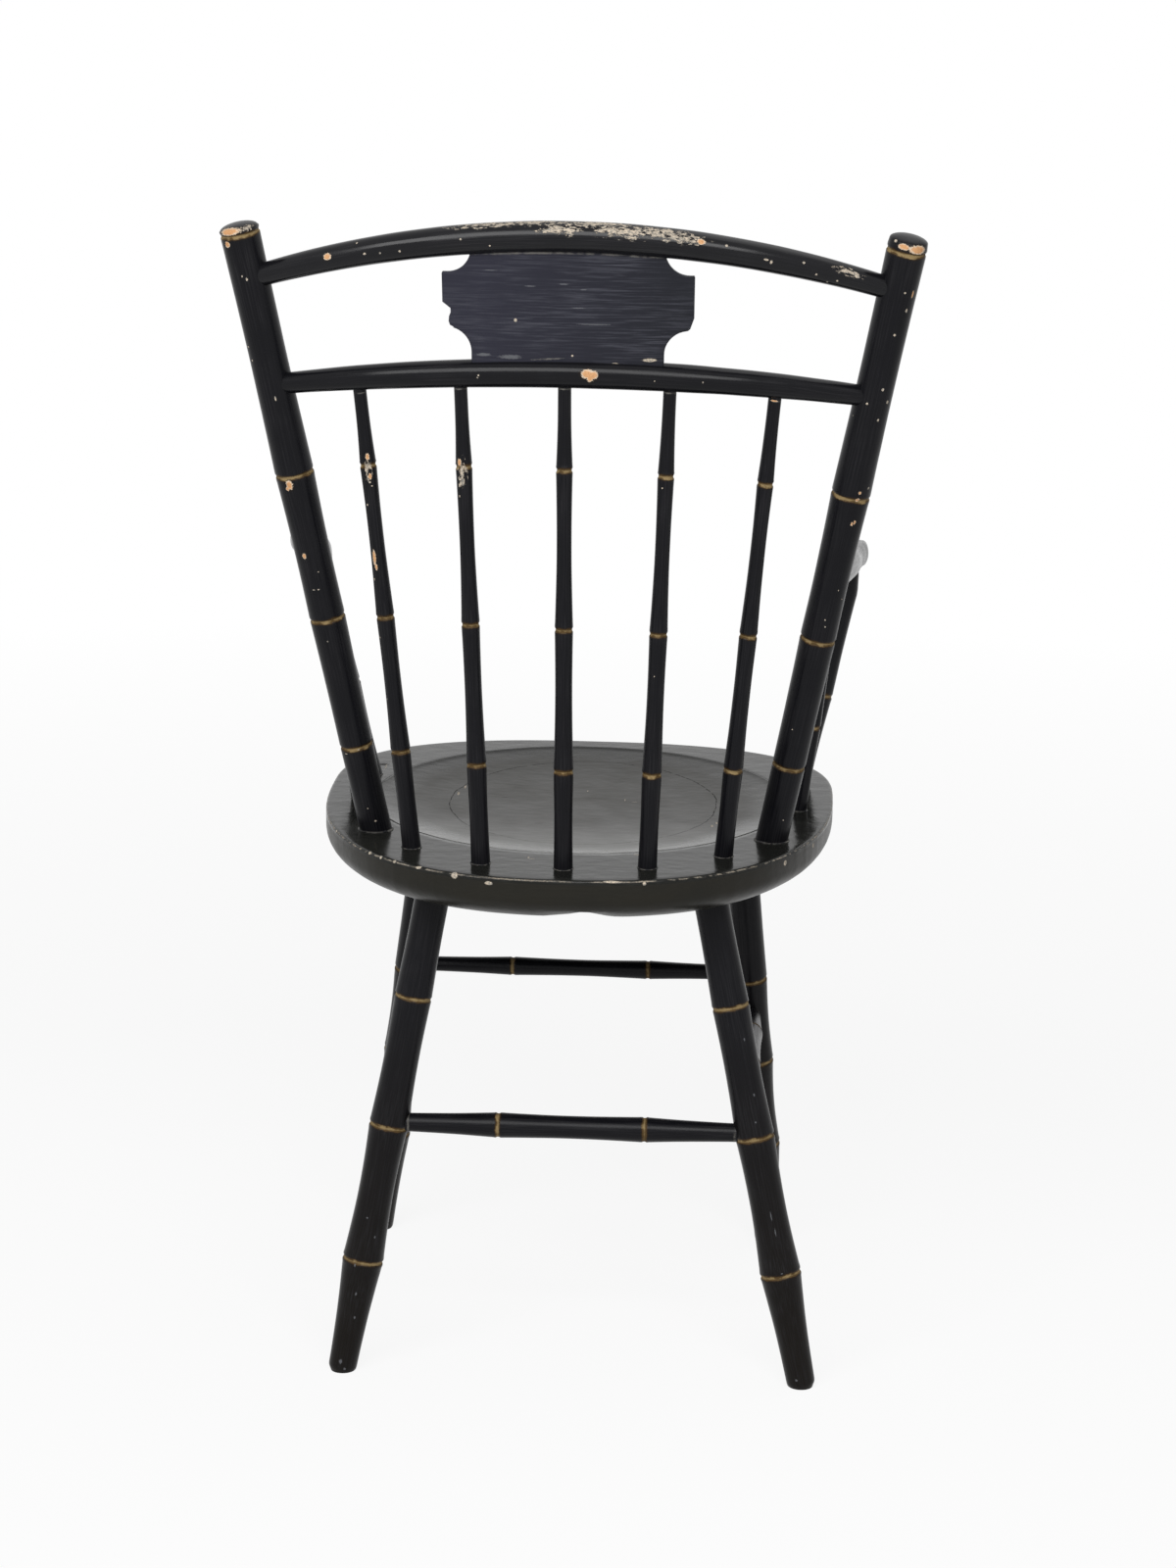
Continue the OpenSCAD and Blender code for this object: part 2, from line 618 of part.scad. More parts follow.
module back_spindle(i) in_frame() color(paint) {
    foot = spindle_foot(i);
    top = spindle_top(i);
    length = norm(top - foot);
    aim(foot, top) turned(concat(
        [plain(-spindle_tenon, spindle_foot_r), plain(0, spindle_foot_r, waist * spindle_bays[0])],
        [
            for (k = [0 : 2])
                let (r = mix(spindle_top_r, spindle_foot_r, spindle_swell[k]))
                ringed((spindle_rings[k] + i * spindle_ring_lift) * length, r, waist * spindle_bays[k + 1])
        ],
        [plain(length - mid_rail_r, spindle_top_r), plain(length - spindle_stop, spindle_top_r)]
    ));
}

module puck(r) {
    edge = arm_t / 2;
    rotate_extrude($fn = 28) polygon([
        [0, -edge],
        for (a = [-90 : 30 : 90]) [r - arm_edge * (1 - cos(a)), edge * sin(a)],
        [0, edge]
    ]);
}

module arm(side) in_frame() color(paint) {
    difference() {
        for (k = [0 : 6]) hull() {
            translate(arm_at(side, arm_widths[k][0])) puck(arm_widths[k][1]);
            translate(arm_at(side, arm_widths[k + 1][0])) puck(arm_widths[k + 1][1]);
        }
        aim(foot_of_post(side), top_of_post(side)) rod(post_arm_r(side) + shoulder_gap, 0, far);
        socket(stump_top(side), mirrored(side, stump_foot), stump_tenon_r, arm_tenon_up);
        socket(arm_spindle_top(side), mirrored(side, arm_spindle_foot), arm_spindle_top_r, arm_tenon_up);
    }
    // The tenon goes right through the post and ends just inside its back face
    aim(arm_at(side, 0), arm_at(side, 0.1)) rod(arm_tenon_r, 1 - post_foot_r, post_foot_r + mouth);
}

module arm_stump(side) in_frame() color(paint) {
    foot = mirrored(side, stump_foot);
    top = stump_top(side);
    length = norm(top - foot);
    difference() {
        aim(foot, top) turned([
            plain(-shoulder_run, stump_foot_r, waist), ringed(stump_ring * length, stump_r, waist / 2),
            plain(length - stump_crown, stump_crown_r), plain(length, stump_top_r),
            plain(length + shoulder_run, stump_top_r)
        ]);
        below_deck();
        above_arms();
    }
    aim(foot, top) {
        rod(stump_tenon_r, -seat_tenon, tenon_root);
        rod(stump_tenon_r, length - tenon_root, length + arm_tenon_up);
    }
}

module arm_spindle(side) in_frame() color(paint) {
    foot = mirrored(side, arm_spindle_foot);
    top = arm_spindle_top(side);
    length = norm(top - foot);
    aim(foot, top) turned([
        plain(-spindle_tenon, arm_spindle_r), plain(0, arm_spindle_r, waist / 2),
        ringed(arm_spindle_ring * length, arm_spindle_r, waist / 2),
        plain(length, arm_spindle_top_r), plain(length + arm_tenon_up, arm_spindle_top_r)
    ]);
}

module leg(top, foot, rings) in_frame() color(paint) {
    length = norm(top - foot);
    first_r = leg_top_r + waist;
    difference() {
        aim(top, foot) rotate([0, 0, leg_seam]) turned(concat(
            [plain(-shoulder_run, leg_top_r, leg_waist * leg_bays[0])],
            [
                for (k = [0 : 2])
                    let (r = mix(first_r, leg_ring_r, leg_ring_shares[k]))
                    ringed(rings[k] * length, r, leg_waist * leg_bays[k + 1])
            ],
            [
                plain(length - foot_round, foot_r), plain(length, foot_r - foot_round / 3),
                plain(length + foot_round, foot_r - foot_round),
                plain(length + shoulder_run, foot_r - foot_round)
            ]
        ));
        above_underside();
        translate([-far, -far, -far]) cube([2 * far, 2 * far, far]);
        children();
    }
    aim(top, foot) rod(leg_tenon_r, -seat_tenon, tenon_root);
}

module rear_leg(side) leg(rear_top(side), rear_foot(side), rear_rings) {
    back_stretcher_sockets();
    side_stretcher_sockets(side);
}

module front_leg(side) leg(mirrored(side, front_top), front_foot(side), front_rings) {
    front_stretcher_sockets();
    side_stretcher_sockets(side);
}

// A stretcher between the middle lines of two legs, or the sockets for it
module stretcher(p, q, r, end_r) {
    length = norm(q - p);
    aim(p, q) turned([
        plain(-stretcher_past, end_r), plain(stretcher_root, end_r, waist / 3),
        ringed(stretcher_ring * length, r, waist), ringed((1 - stretcher_ring) * length, r, waist / 3),
        plain(length - stretcher_root, end_r), plain(length + stretcher_past, end_r)
    ]);
}

module stretcher_sockets(p, q, end_r) {
    aim(p, q) rod(end_r + fit, -stretcher_past - end_room, leg_ring_r + mouth);
    aim(q, p) rod(end_r + fit, -stretcher_past - end_room, leg_ring_r + mouth);
}

module back_stretcher_sockets()
    stretcher_sockets(
        rear_leg_at(left, back_stretcher_z), rear_leg_at(right, back_stretcher_z), stretcher_end_r
    );
module front_stretcher_sockets()
    stretcher_sockets(
        front_leg_at(left, front_stretcher_z), front_leg_at(right, front_stretcher_z), front_stretcher_end_r
    );
module side_stretcher_sockets(side)
    stretcher_sockets(
        rear_leg_at(side, side_stretcher_z), front_leg_at(side, side_stretcher_front_z), stretcher_end_r
    );

module back_stretcher() in_frame() color(paint)
    stretcher(
        rear_leg_at(left, back_stretcher_z), rear_leg_at(right, back_stretcher_z), stretcher_r, stretcher_end_r
    );
module front_stretcher() in_frame() color(paint)
    stretcher(
        front_leg_at(left, front_stretcher_z), front_leg_at(right, front_stretcher_z),
        front_stretcher_r, front_stretcher_end_r
    );
module side_stretcher(side) in_frame() color(paint)
    stretcher(
        rear_leg_at(side, side_stretcher_z), front_leg_at(side, side_stretcher_front_z),
        stretcher_r, stretcher_end_r
    );

seat();
back_post(left);  // left_back_post
back_post(right);  // right_back_post
top_rail();
mid_rail();
tablet();
back_spindle(2);  // back_spindle_1
back_spindle(1);  // back_spindle_2
back_spindle(0);  // back_spindle_3
back_spindle(-1);  // back_spindle_4
back_spindle(-2);  // back_spindle_5
arm(left);  // left_arm
arm(right);  // right_arm
arm_stump(left);  // left_arm_stump
arm_stump(right);  // right_arm_stump
arm_spindle(left);  // left_arm_spindle
arm_spindle(right);  // right_arm_spindle
front_leg(left);  // front_left_leg
front_leg(right);  // front_right_leg
rear_leg(left);  // rear_left_leg
rear_leg(right);  // rear_right_leg
front_stretcher();
back_stretcher();
side_stretcher(left);  // left_stretcher
side_stretcher(right);  // right_stretcher
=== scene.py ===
import math
import bpy
import bmesh
from mathutils import Matrix, Vector, noise


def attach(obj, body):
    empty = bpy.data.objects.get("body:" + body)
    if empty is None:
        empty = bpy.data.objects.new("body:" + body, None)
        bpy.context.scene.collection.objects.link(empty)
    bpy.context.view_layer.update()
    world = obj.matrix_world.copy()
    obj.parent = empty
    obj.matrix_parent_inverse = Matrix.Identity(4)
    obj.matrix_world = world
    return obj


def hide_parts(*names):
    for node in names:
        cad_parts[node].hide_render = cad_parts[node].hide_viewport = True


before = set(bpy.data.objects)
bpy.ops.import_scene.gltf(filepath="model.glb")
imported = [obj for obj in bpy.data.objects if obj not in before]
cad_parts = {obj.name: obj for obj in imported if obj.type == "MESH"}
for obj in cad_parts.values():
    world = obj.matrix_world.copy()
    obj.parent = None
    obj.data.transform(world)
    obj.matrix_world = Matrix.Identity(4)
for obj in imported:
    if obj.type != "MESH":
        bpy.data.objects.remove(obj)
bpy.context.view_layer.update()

# Sizes are in millimetres and angles in degrees. Y is measured from the widest line of the seat;
# a finished mesh is moved to the middle of the chair's plan and scaled to metres.
left, right = 1, -1
bothSides = ((left, "left"), (right, "right"))
upward = Vector((0, 0, 1))

chair = {
    "middle": 71.497,  # from the seat's widest line back to the middle of the plan
    "rimY": 279.68,  # the seat's back rim
    "deckHigh": 424,
    "tilt": 1.6,
    "thick": 38.5,
    "crease": 40,  # edges that turn by more than this stay sharp
}
deckTilt = Matrix.Rotation(math.radians(-chair["tilt"]), 4, "X")


def sine(turn):
    return math.sin(math.radians(turn))


def cosine(turn):
    return math.cos(math.radians(turn))


def deckZ(y):
    return chair["deckHigh"] + (chair["rimY"] - y) * math.tan(math.radians(chair["tilt"]))


def underZ(y):
    return deckZ(y) - chair["thick"] / cosine(chair["tilt"])


def mix(p, q, share):
    return p + (q - p) * share


def atHeight(p, q, z):
    return mix(p, q, (z - p.z) / (q.z - p.z))


def onDeck(x, y):
    return Vector((x, y, deckZ(y)))


def underDeck(x, y):
    return Vector((x, y, underZ(y)))


# The enamel's colours, as they are mixed on the palette
tones = {
    "black": (0.0046, 0.0046, 0.0060),
    "brushed": (0.0170, 0.0165, 0.0185),
    "gilt": (0.230, 0.165, 0.078),
    "giltDark": (0.070, 0.042, 0.015),
    "fringe": (0.020, 0.0105, 0.0045),
    "wood": (0.56, 0.305, 0.145),
    "woodDark": (0.26, 0.125, 0.05),
    "cream": (0.62, 0.52, 0.40),
    "dust": (0.20, 0.19, 0.17),
    "olive": (0.0135, 0.0122, 0.0086),
    "crackMarkAndShadeBlack": (0.0035, 0.003, 0.0025),
    "warmBlack": (0.0054, 0.0041, 0.0030),
    "scuff": (0.115, 0.118, 0.128),
}
plainLook = {
    "rings": [],  # heights of the gilt rings
    "chips": [],  # flakes down to the wood, each a place and a size
    "flecks": [],  # small pale nicks
    "worn": [],  # stretches that hands have rubbed through
    "scratches": [],  # grey scuffs that stay in the paint
    "fade": None,  # from where to where along the piece the black goes over to another tone
    "specks": 0.016, "gloss": (0.22, 0.36), "black": tones["black"], "brushed": tones["brushed"],
    "brushing": 0.8, "grain": (1.1, 1.1, 0.016), "shine": 0.115,
}
mattBare = 0.35  # how much rougher dust, gilt and bare wood are than the enamel


def addNode(tree, kind, inputs=None, **values):
    made = tree.nodes.new("ShaderNode" + kind)
    for key, value in values.items():
        setattr(made, key, value)
    for key, value in (inputs or {}).items():
        if isinstance(value, bpy.types.NodeSocket):
            tree.links.new(value, made.inputs[key])
        else:
            made.inputs[key].default_value = value
    return made


# The first value handed to these helpers is a socket, and the new node goes into its tree
def calc(operation, a, b=0.0):
    return addNode(a.id_data, "Math", {0: a, 1: b}, operation=operation).outputs[0]


def times(a, b):
    return calc("MULTIPLY", a, b)


def plus(a, b):
    return calc("ADD", a, b)


def most(a, b):
    return calc("MAXIMUM", a, b)


def least(values):
    found = values[0]
    for value in values[1:]:
        found = calc("MINIMUM", found, value)
    return found


def ramp(value, low, high, toLow=0.0, toHigh=1.0):
    return addNode(value.id_data, "MapRange", {"Value": value, "From Min": low, "From Max": high,
                                               "To Min": toLow, "To Max": toHigh}).outputs[0]


def axis(vector, letter):
    return addNode(vector.id_data, "SeparateXYZ", {0: vector}).outputs[letter]


def lengthOf(vector):
    return addNode(vector.id_data, "VectorMath", {0: vector}, operation="LENGTH").outputs["Value"]


def blendTones(share, *pair):
    a, b = (tone if isinstance(tone, bpy.types.NodeSocket) else (*tone, 1) for tone in pair)
    return addNode(share.id_data, "Mix", {0: share, 6: a, 7: b}, data_type="RGBA").outputs[2]


def grainNoise(where, scale, detail=3.0, rough=0.55):
    placed = addNode(where.id_data, "Mapping", {"Vector": where, "Scale": scale}).outputs[0]
    return addNode(where.id_data, "TexNoise", {"Vector": placed, "Scale": 1.0, "Detail": detail,
                                               "Roughness": rough}).outputs["Fac"]


def spotDistance(along, spots):
    # the distance to the nearest spot, as a share of that spot's size
    gaps = []
    for centre, size in spots:
        scale = [1 / s for s in size]
        inputs = {0: along, 1: scale, 2: [-c * s for c, s in zip(centre, scale)]}
        away = addNode(along.id_data, "VectorMath", inputs, operation="MULTIPLY_ADD")
        gaps.append(lengthOf(away.outputs[0]))
    return least(gaps)


def specks(along, crumb, scale, ragged, sizes, amount):
    # a share of the cells of a flake pattern holds a speck each
    flakes = addNode(along.id_data, "TexVoronoi", {"Vector": along, "Scale": scale, "Randomness": 1.0})
    rare = addNode(along.id_data, "SeparateColor", {0: flakes.outputs["Color"]})
    away = plus(flakes.outputs["Distance"], ramp(crumb, 0.3, 0.7, -ragged, ragged))
    speck = calc("LESS_THAN", away, ramp(rare.outputs[1], 0, 1, *sizes))
    return times(speck, calc("LESS_THAN", rare.outputs[0], amount))


def newMaterial(name):
    material = bpy.data.materials.new(name)
    material.use_nodes = True
    return material, material.node_tree, material.node_tree.nodes["Principled BSDF"]


def piecePattern(tree):
    # where a point lies on its piece's own pattern, and how far from the nearest seam or rim
    return (addNode(tree, "Attribute", attribute_name="along").outputs["Vector"],
            addNode(tree, "Attribute", attribute_name="seamGap").outputs["Fac"])


def finishPaint(shader, colour, gloss, matt, shine, lift):
    tree = shader.id_data
    bump = addNode(tree, "Bump", {"Height": lift, "Strength": 1.0, "Distance": 0.001})
    tree.links.new(colour, shader.inputs["Base Color"])
    tree.links.new(plus(gloss, times(matt, mattBare)), shader.inputs["Roughness"])
    tree.links.new(bump.outputs[0], shader.inputs["Normal"])
    shader.inputs["Specular IOR Level"].default_value = shine


def paintedWood(name, look):
    look = plainLook | look
    material, tree, shader = newMaterial(name)
    along, seamGap = piecePattern(tree)
    height = axis(along, "Z")

    strokes = grainNoise(along, look["grain"], 4)  # hairs of the brush
    blotch = grainNoise(addNode(tree, "TexCoord").outputs["Object"], (26, 26, 26), 3)
    fine = grainNoise(along, (3.2, 3.2, 0.5), 2)
    jag = grainNoise(along, (0.95, 0.95, 0.6), 5, 0.7)
    crumb = grainNoise(along, (1.7, 1.7, 0.9), 6, 0.75)
    wander = grainNoise(along, (0.13, 0.13, 0.13), 2)

    thin = times(ramp(strokes, 0.46, 0.72), ramp(blotch, 0.36, 0.62, 0.15, 1))
    black = look["black"]
    if look["fade"]:
        start, end, tone = look["fade"]
        black = blendTones(ramp(height, start, end), black, tone)
    colour = blendTones(times(thin, look["brushing"]), black, look["brushed"])

    # a thin line of old dust where the stick meets its neighbour
    dust = ramp(plus(seamGap, ramp(crumb, 0.3, 0.7, -0.45, 0.45)), 1.0, 0.5)
    dust = times(dust, ramp(wander, 0.36, 0.6, 0.02, 0.6))
    matt = dust

    # the gilt line of each ring wanders a little and is rubbed dark here and there; the dark fringe along
    # both sides of it is painted shade of the ring's groove
    if look["rings"]:
        place = plus(height, ramp(wander, 0.3, 0.7, -0.6, 0.6))
        edge = least([calc("ABSOLUTE", calc("SUBTRACT", place, ring)) for ring in look["rings"]])
        edge = plus(edge, ramp(jag, 0.25, 0.75, -0.3, 0.3))
        # painted shade: the dark fringe either side of the gilt stands in for the shadow in the ring's
        # groove
        colour = blendTones(ramp(edge, 3.0, 1.8, 0, 0.85), colour, tones["fringe"])
        gilt = ramp(edge, 1.9, 1.4)
        bright = ramp(plus(wander, ramp(edge, 0, 1.3, 0.1, -0.14)), 0.38, 0.6)
        giltTone = blendTones(bright, tones["giltDark"], tones["gilt"])
        colour = blendTones(times(gilt, ramp(crumb, 0.34, 0.42, 0.35, 1)), colour, giltTone)
        matt = most(gilt, dust)
    colour = blendTones(dust, colour, tones["dust"])

    # chips down to the wood with a pale rim of primer, nicks, rubbed stretches and specks
    pale = specks(along, crumb, 0.17, 0.05, (0.04, 0.11), look["specks"])
    ragged = ramp(jag, 0.25, 0.75, -0.4, 0.4)
    if look["scratches"]:
        scuff = ramp(plus(spotDistance(along, look["scratches"]), ragged), 1.1, 0.6)
        colour = blendTones(times(scuff, 0.8), colour, tones["scuff"])
    if look["flecks"]:
        away = plus(spotDistance(along, look["flecks"]), ragged)
        pale = most(pale, ramp(away, 1.06, 0.9))
    if look["worn"]:
        near = ramp(spotDistance(along, look["worn"]), 1.0, 0.15)
        flaked = grainNoise(along, (0.5, 0.5, 0.2), 5, 0.7)
        rub = ramp(plus(flaked, times(near, 0.2)), 0.62, 0.66)
        pale = most(pale, times(rub, ramp(near, 0, 0.2, 0, 0.9)))
    colour = blendTones(pale, colour, blendTones(ramp(jag, 0.4, 0.6), tones["dust"], tones["cream"]))
    matt = most(matt, pale)
    if look["chips"]:
        away = plus(spotDistance(along, look["chips"]), ragged)
        bare = ramp(away, 1.04, 0.93)
        woodTone = blendTones(ramp(crumb, 0.5, 0.66), tones["wood"], tones["woodDark"])
        colour = blendTones(ramp(away, 1.35, 1.02, 0, 0.8), colour, tones["fringe"])
        colour = blendTones(bare, colour, blendTones(ramp(away, 0.66, 0.9), woodTone, tones["cream"]))
        matt = most(matt, bare)
        pale = most(pale, bare)

    gloss = plus(ramp(strokes, 0.3, 0.7, *look["gloss"]), ramp(blotch, 0.3, 0.7, -0.04, 0.06))
    lift = calc("SUBTRACT", plus(times(strokes, 0.022), times(fine, 0.008)), times(pale, 0.10))
    finishPaint(shader, colour, gloss, matt, look["shine"], lift)
    return material


def newObject(name, data):
    made = bpy.data.objects.new(name, data)
    bpy.context.scene.collection.objects.link(made)
    return made


def meshObject(name, bm, material):
    mesh = bpy.data.meshes.new(name)
    bm.to_mesh(mesh)
    bm.free()
    mesh.materials.append(material)
    return newObject(name, mesh)


def finishPiece(name, node, bm, material):
    bmesh.ops.recalc_face_normals(bm, faces=bm.faces)
    for face in bm.faces:
        face.smooth = True
    for edge in bm.edges:
        if len(edge.link_faces) == 2 and edge.calc_face_angle(0) > math.radians(chair["crease"]):
            edge.smooth = False
    bmesh.ops.translate(bm, vec=(0, -chair["middle"], 0), verts=bm.verts)
    bmesh.ops.scale(bm, vec=(0.001, 0.001, 0.001), verts=bm.verts)
    piece = meshObject(name, bm, material)
    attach(piece, "root")
    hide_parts(node)


def patternLayers(bm):
    return bm.verts.layers.float_vector.new("along"), bm.verts.layers.float.new("seamGap")


def only(kind, items):
    return [item for item in items if isinstance(item, kind)]


def startTube(bm, count):
    circle = bmesh.ops.create_circle(bm, cap_ends=True, segments=count, radius=1)["verts"]
    return circle, bm.edges[:]


def growTube(bm, edges):
    # draws the open end of a tube out by one ring
    made = bmesh.ops.extrude_edge_only(bm, edges=edges)["geom"]
    edges = [edge for edge in only(bmesh.types.BMEdge, made) if len(edge.link_faces) == 1]
    return only(bmesh.types.BMVert, made), edges


def carryOver(verts, before):
    # each new corner takes over what belongs to the corner it was drawn from
    return {vert: next(before[edge.other_vert(vert)] for edge in vert.link_edges
                       if edge.other_vert(vert) in before) for vert in verts}


def cutAcross(bm, place, normal, clear=False):
    everything = bm.verts[:] + bm.edges[:] + bm.faces[:]
    made = bmesh.ops.bisect_plane(bm, geom=everything, plane_co=place, plane_no=normal, clear_inner=clear)
    return only(bmesh.types.BMEdge, made["geom_cut"])


def spinRound(bm, geom, steps):
    bmesh.ops.spin(bm, geom=geom, cent=(0, 0, 0), axis=(0, 0, 1), angle=2 * math.pi, steps=steps,
                   use_merge=True, use_duplicate=False)


# Stations of a turned stick: height, radius, ring or not, hollow of the stretch that follows
def plain(z, r, hollow=0.0):
    return (z, r, False, hollow)


def ringed(z, r, hollow=0.0):
    return (z, r, True, hollow)


turning = {
    "steps": 56, "wobble": 0.07,
    "long": 14, "bay": 20,  # a stretch longer than this is divided into so many parts
    # the groove of a ring: steps along the stick and the depth there
    "cut": ((-2.8, 0), (-2.0, 0.04), (-1.5, 0.22), (-1.0, 0.58), (-0.5, 0.7),
            (0.5, 0.7), (1.0, 0.58), (1.5, 0.22), (2.0, 0.04), (2.8, 0)),
}
marks = ("chips", "flecks", "worn", "scratches")
beads = {"sides": 10, "steps": 48, "lumps": 0.35}
deckSeam, underSeam = "deck", "under"


def stickOutline(stations, seed):
    points = []
    for (z, r, ring, hollow), after in zip(stations, stations[1:] + [None]):
        points += [(z + step, r - cut) for step, cut in turning["cut"]] if ring else [(z, r)]
        if after and after[0] - z > turning["long"]:
            for i in range(1, turning["bay"]):
                share = i / turning["bay"]
                points.append((mix(z, after[0], share),
                               mix(r, after[1], share) - hollow * math.sin(math.pi * share)))
    return [(z, max(0, r + turning["wobble"] * noise.noise((z * 0.035, seed * 7.1, 0)) if r > 3 else r))
            for z, r in points]


def ringStations(stick, heights, r, ringR):
    # a ring's radius lies a share of the way from r to ringR, and a hollow stretch follows it
    hollows = [stick["hollow"] * bay for bay in stick["bays"][1:]]
    return [ringed(z, mix(r, ringR, swell), hollow)
            for z, swell, hollow in zip(heights, stick["swell"], hollows)]


def radiusAt(outline, z):
    for (z0, r0), (z1, r1) in zip(outline, outline[1:]):
        if z0 <= z <= z1 and z1 > z0:
            return mix(r0, r1, (z - z0) / (z1 - z0))
    return outline[-1][1]


def roundStick(radius, spots):
    # a spot is given as height, turn round the stick, size, and how many times longer it is
    return [((radius(z) * cosine(turn), radius(z) * sine(turn), z), (size, size, size * long))
            for z, turn, size, long in spots]


def addBead(bm, foot, r, bead, seed):
    # a lumpy bead of filler and old paint round the foot of a stick, in the plane of the deck
    along, seamGap = bm.verts.layers.float_vector["along"], bm.verts.layers.float["seamGap"]
    before = set(bm.verts)
    bmesh.ops.create_circle(bm, segments=beads["sides"], radius=bead, cap_ends=False,
                            matrix=Matrix.Translation((r, 0, 0)) @ Matrix.Rotation(math.pi / 2, 4, "X"))
    geom = [item for item in bm.verts if item not in before]
    geom += [item for item in bm.edges if item.verts[0] not in before]
    spinRound(bm, geom, beads["steps"])
    made = [vert for vert in bm.verts if vert not in before]
    for vert in made:
        lump = noise.noise((vert.co.x * beads["lumps"] + seed * 9.7, vert.co.y * beads["lumps"], 0))
        vert.co.z *= 0.75 + 0.75 * lump
        vert[along] = vert.co * 1.0
        vert[seamGap] = 0.75 + lump
    bmesh.ops.transform(bm, matrix=Matrix.Translation(foot) @ deckTilt, verts=made)


def turnStick(name, node, foot, top, stations, look, seed, seams=(), bead=0, floor=False):
    outline = stickOutline(stations, seed)
    look = dict(look)
    for key in marks:
        look[key] = roundStick(lambda z: radiusAt(outline, z), look.get(key, []))
    look["rings"] = [z for z, r, ring, hollow in stations if ring]
    bm = bmesh.new()
    along, seamGap = patternLayers(bm)
    points = [bm.verts.new((r, 0, z)) for z, r in [(outline[0][0], 0)] + outline + [(outline[-1][0], 0)]]
    edges = [bm.edges.new(pair) for pair in zip(points, points[1:])]
    spinRound(bm, points + edges, turning["steps"])
    bmesh.ops.remove_doubles(bm, verts=bm.verts, dist=0.001)
    for vert in bm.verts:
        vert[along] = vert.co
        vert[seamGap] = min([90] + [abs(vert.co.z - z) for z in seams if not isinstance(z, str)])
    turn = upward.rotation_difference(top - foot).to_matrix().to_4x4()
    bmesh.ops.transform(bm, matrix=Matrix.Translation(foot) @ turn, verts=bm.verts)
    for vert in bm.verts:
        if deckSeam in seams:
            vert[seamGap] = min(vert[seamGap], abs(vert.co.z - deckZ(vert.co.y)))
        if underSeam in seams:
            vert[seamGap] = min(vert[seamGap], abs(vert.co.z - underZ(vert.co.y)))
    if bead:
        addBead(bm, foot, radiusAt(outline, 0), bead, seed)
    if floor:
        bmesh.ops.edgeloop_fill(bm, edges=cutAcross(bm, (0, 0, 0), (0, 0, 1), True))
    finishPiece(name, node, bm, paintedWood(name + "Paint", look))


# Back posts
posts = {
    "foot": (158, 149.68), "top": (245, 246.68, 902), "footR": 12.8, "topR": 14.77, "capR": 14.2,
    "leftIn": (3, 1),  # how much nearer to the middle the left post's foot and top stand
    "leftTopRing": 4.4,  # its top ring was painted higher than the right one
    "dome": 4.0, "hollow": 1.0, "bays": (0.3, 0.3, 0.75, 0.8, 0),
    "rings": (0.144, 0.364, 0.605, 0.985), "lifts": (0.008, 0.008, 0.008, 0),
    "swell": (0.05, 0.48, 1, 1), "bead": 1.5, "tenon": 10,
}


def postLine(side):
    # the rails are set out from an even pair of posts
    foot = onDeck(side * posts["foot"][0], posts["foot"][1])
    return foot, Vector((side * posts["top"][0], *posts["top"][1:]))


def postEnds(side):
    foot, top = postLine(side)
    if side == left:
        foot.x -= posts["leftIn"][0]
        top.x -= posts["leftIn"][1]
    return foot, top


def buildPost(side, name, node, look):
    foot, top = postEnds(side)
    length = (top - foot).length
    heights = [(share + side * lift) * length for share, lift in zip(posts["rings"], posts["lifts"])]
    if side == left:
        heights[-1] += posts["leftTopRing"]
    stations = [plain(-posts["tenon"], posts["footR"], posts["hollow"] * posts["bays"][0])]
    stations += ringStations(posts, heights, posts["footR"], posts["topR"])
    for a in range(0, 90, 10):
        stations.append(plain(length + posts["dome"] * sine(a), posts["capR"] * cosine(a)))
    turnStick(name, node, foot, top, stations, look, side + 2, (deckSeam,), posts["bead"])


# Rails
rails = {
    "bow": 50, "top": {"z": 865, "rise": 38, "r": 11.2, "endR": 8.4},
    "mid": {"z": 785.5, "rise": 18, "r": 10.7, "endR": 7.8}, "steps": 96, "sides": 40, "wobble": 0.14,
    "inPost": 3, "spread": 250,  # millimetres of pattern from the middle of a rail to the post
    "past": 1.012, "seamAt": 0.985,  # shares of the way to the post: a rail's end, its dust line
    "look": {"gloss": (0.11, 0.22), "shine": 0.14},
}


def railEnd(z):
    return atHeight(*postLine(left), z)


def railAt(share, rail):
    end = railEnd(rail["z"])
    swell = 1 - share * share
    return Vector((end.x * share, end.y + rails["bow"] * swell, rail["z"] + rail["rise"] * swell))


def railLimit(rail):
    return 1 - (posts["topR"] - rails["inPost"]) / railEnd(rail["z"]).x


def railR(share, rail):
    return rail["endR"] + (rail["r"] - rail["endR"]) * (1 - (share / railLimit(rail)) ** 2)


def railFrame(share, rail):
    # X of a section points back, Y up, Z along the rail to the left post
    half, bow, rise = railEnd(rail["z"]).x, rails["bow"], rail["rise"]
    slope = Vector((half, -2 * bow * share, -2 * rise * share)).normalized()
    up = (upward - slope.z * slope).normalized()
    back = up.cross(slope)
    if back.y < 0:
        back = -back
    return Matrix((back, up, slope)).transposed().to_4x4()


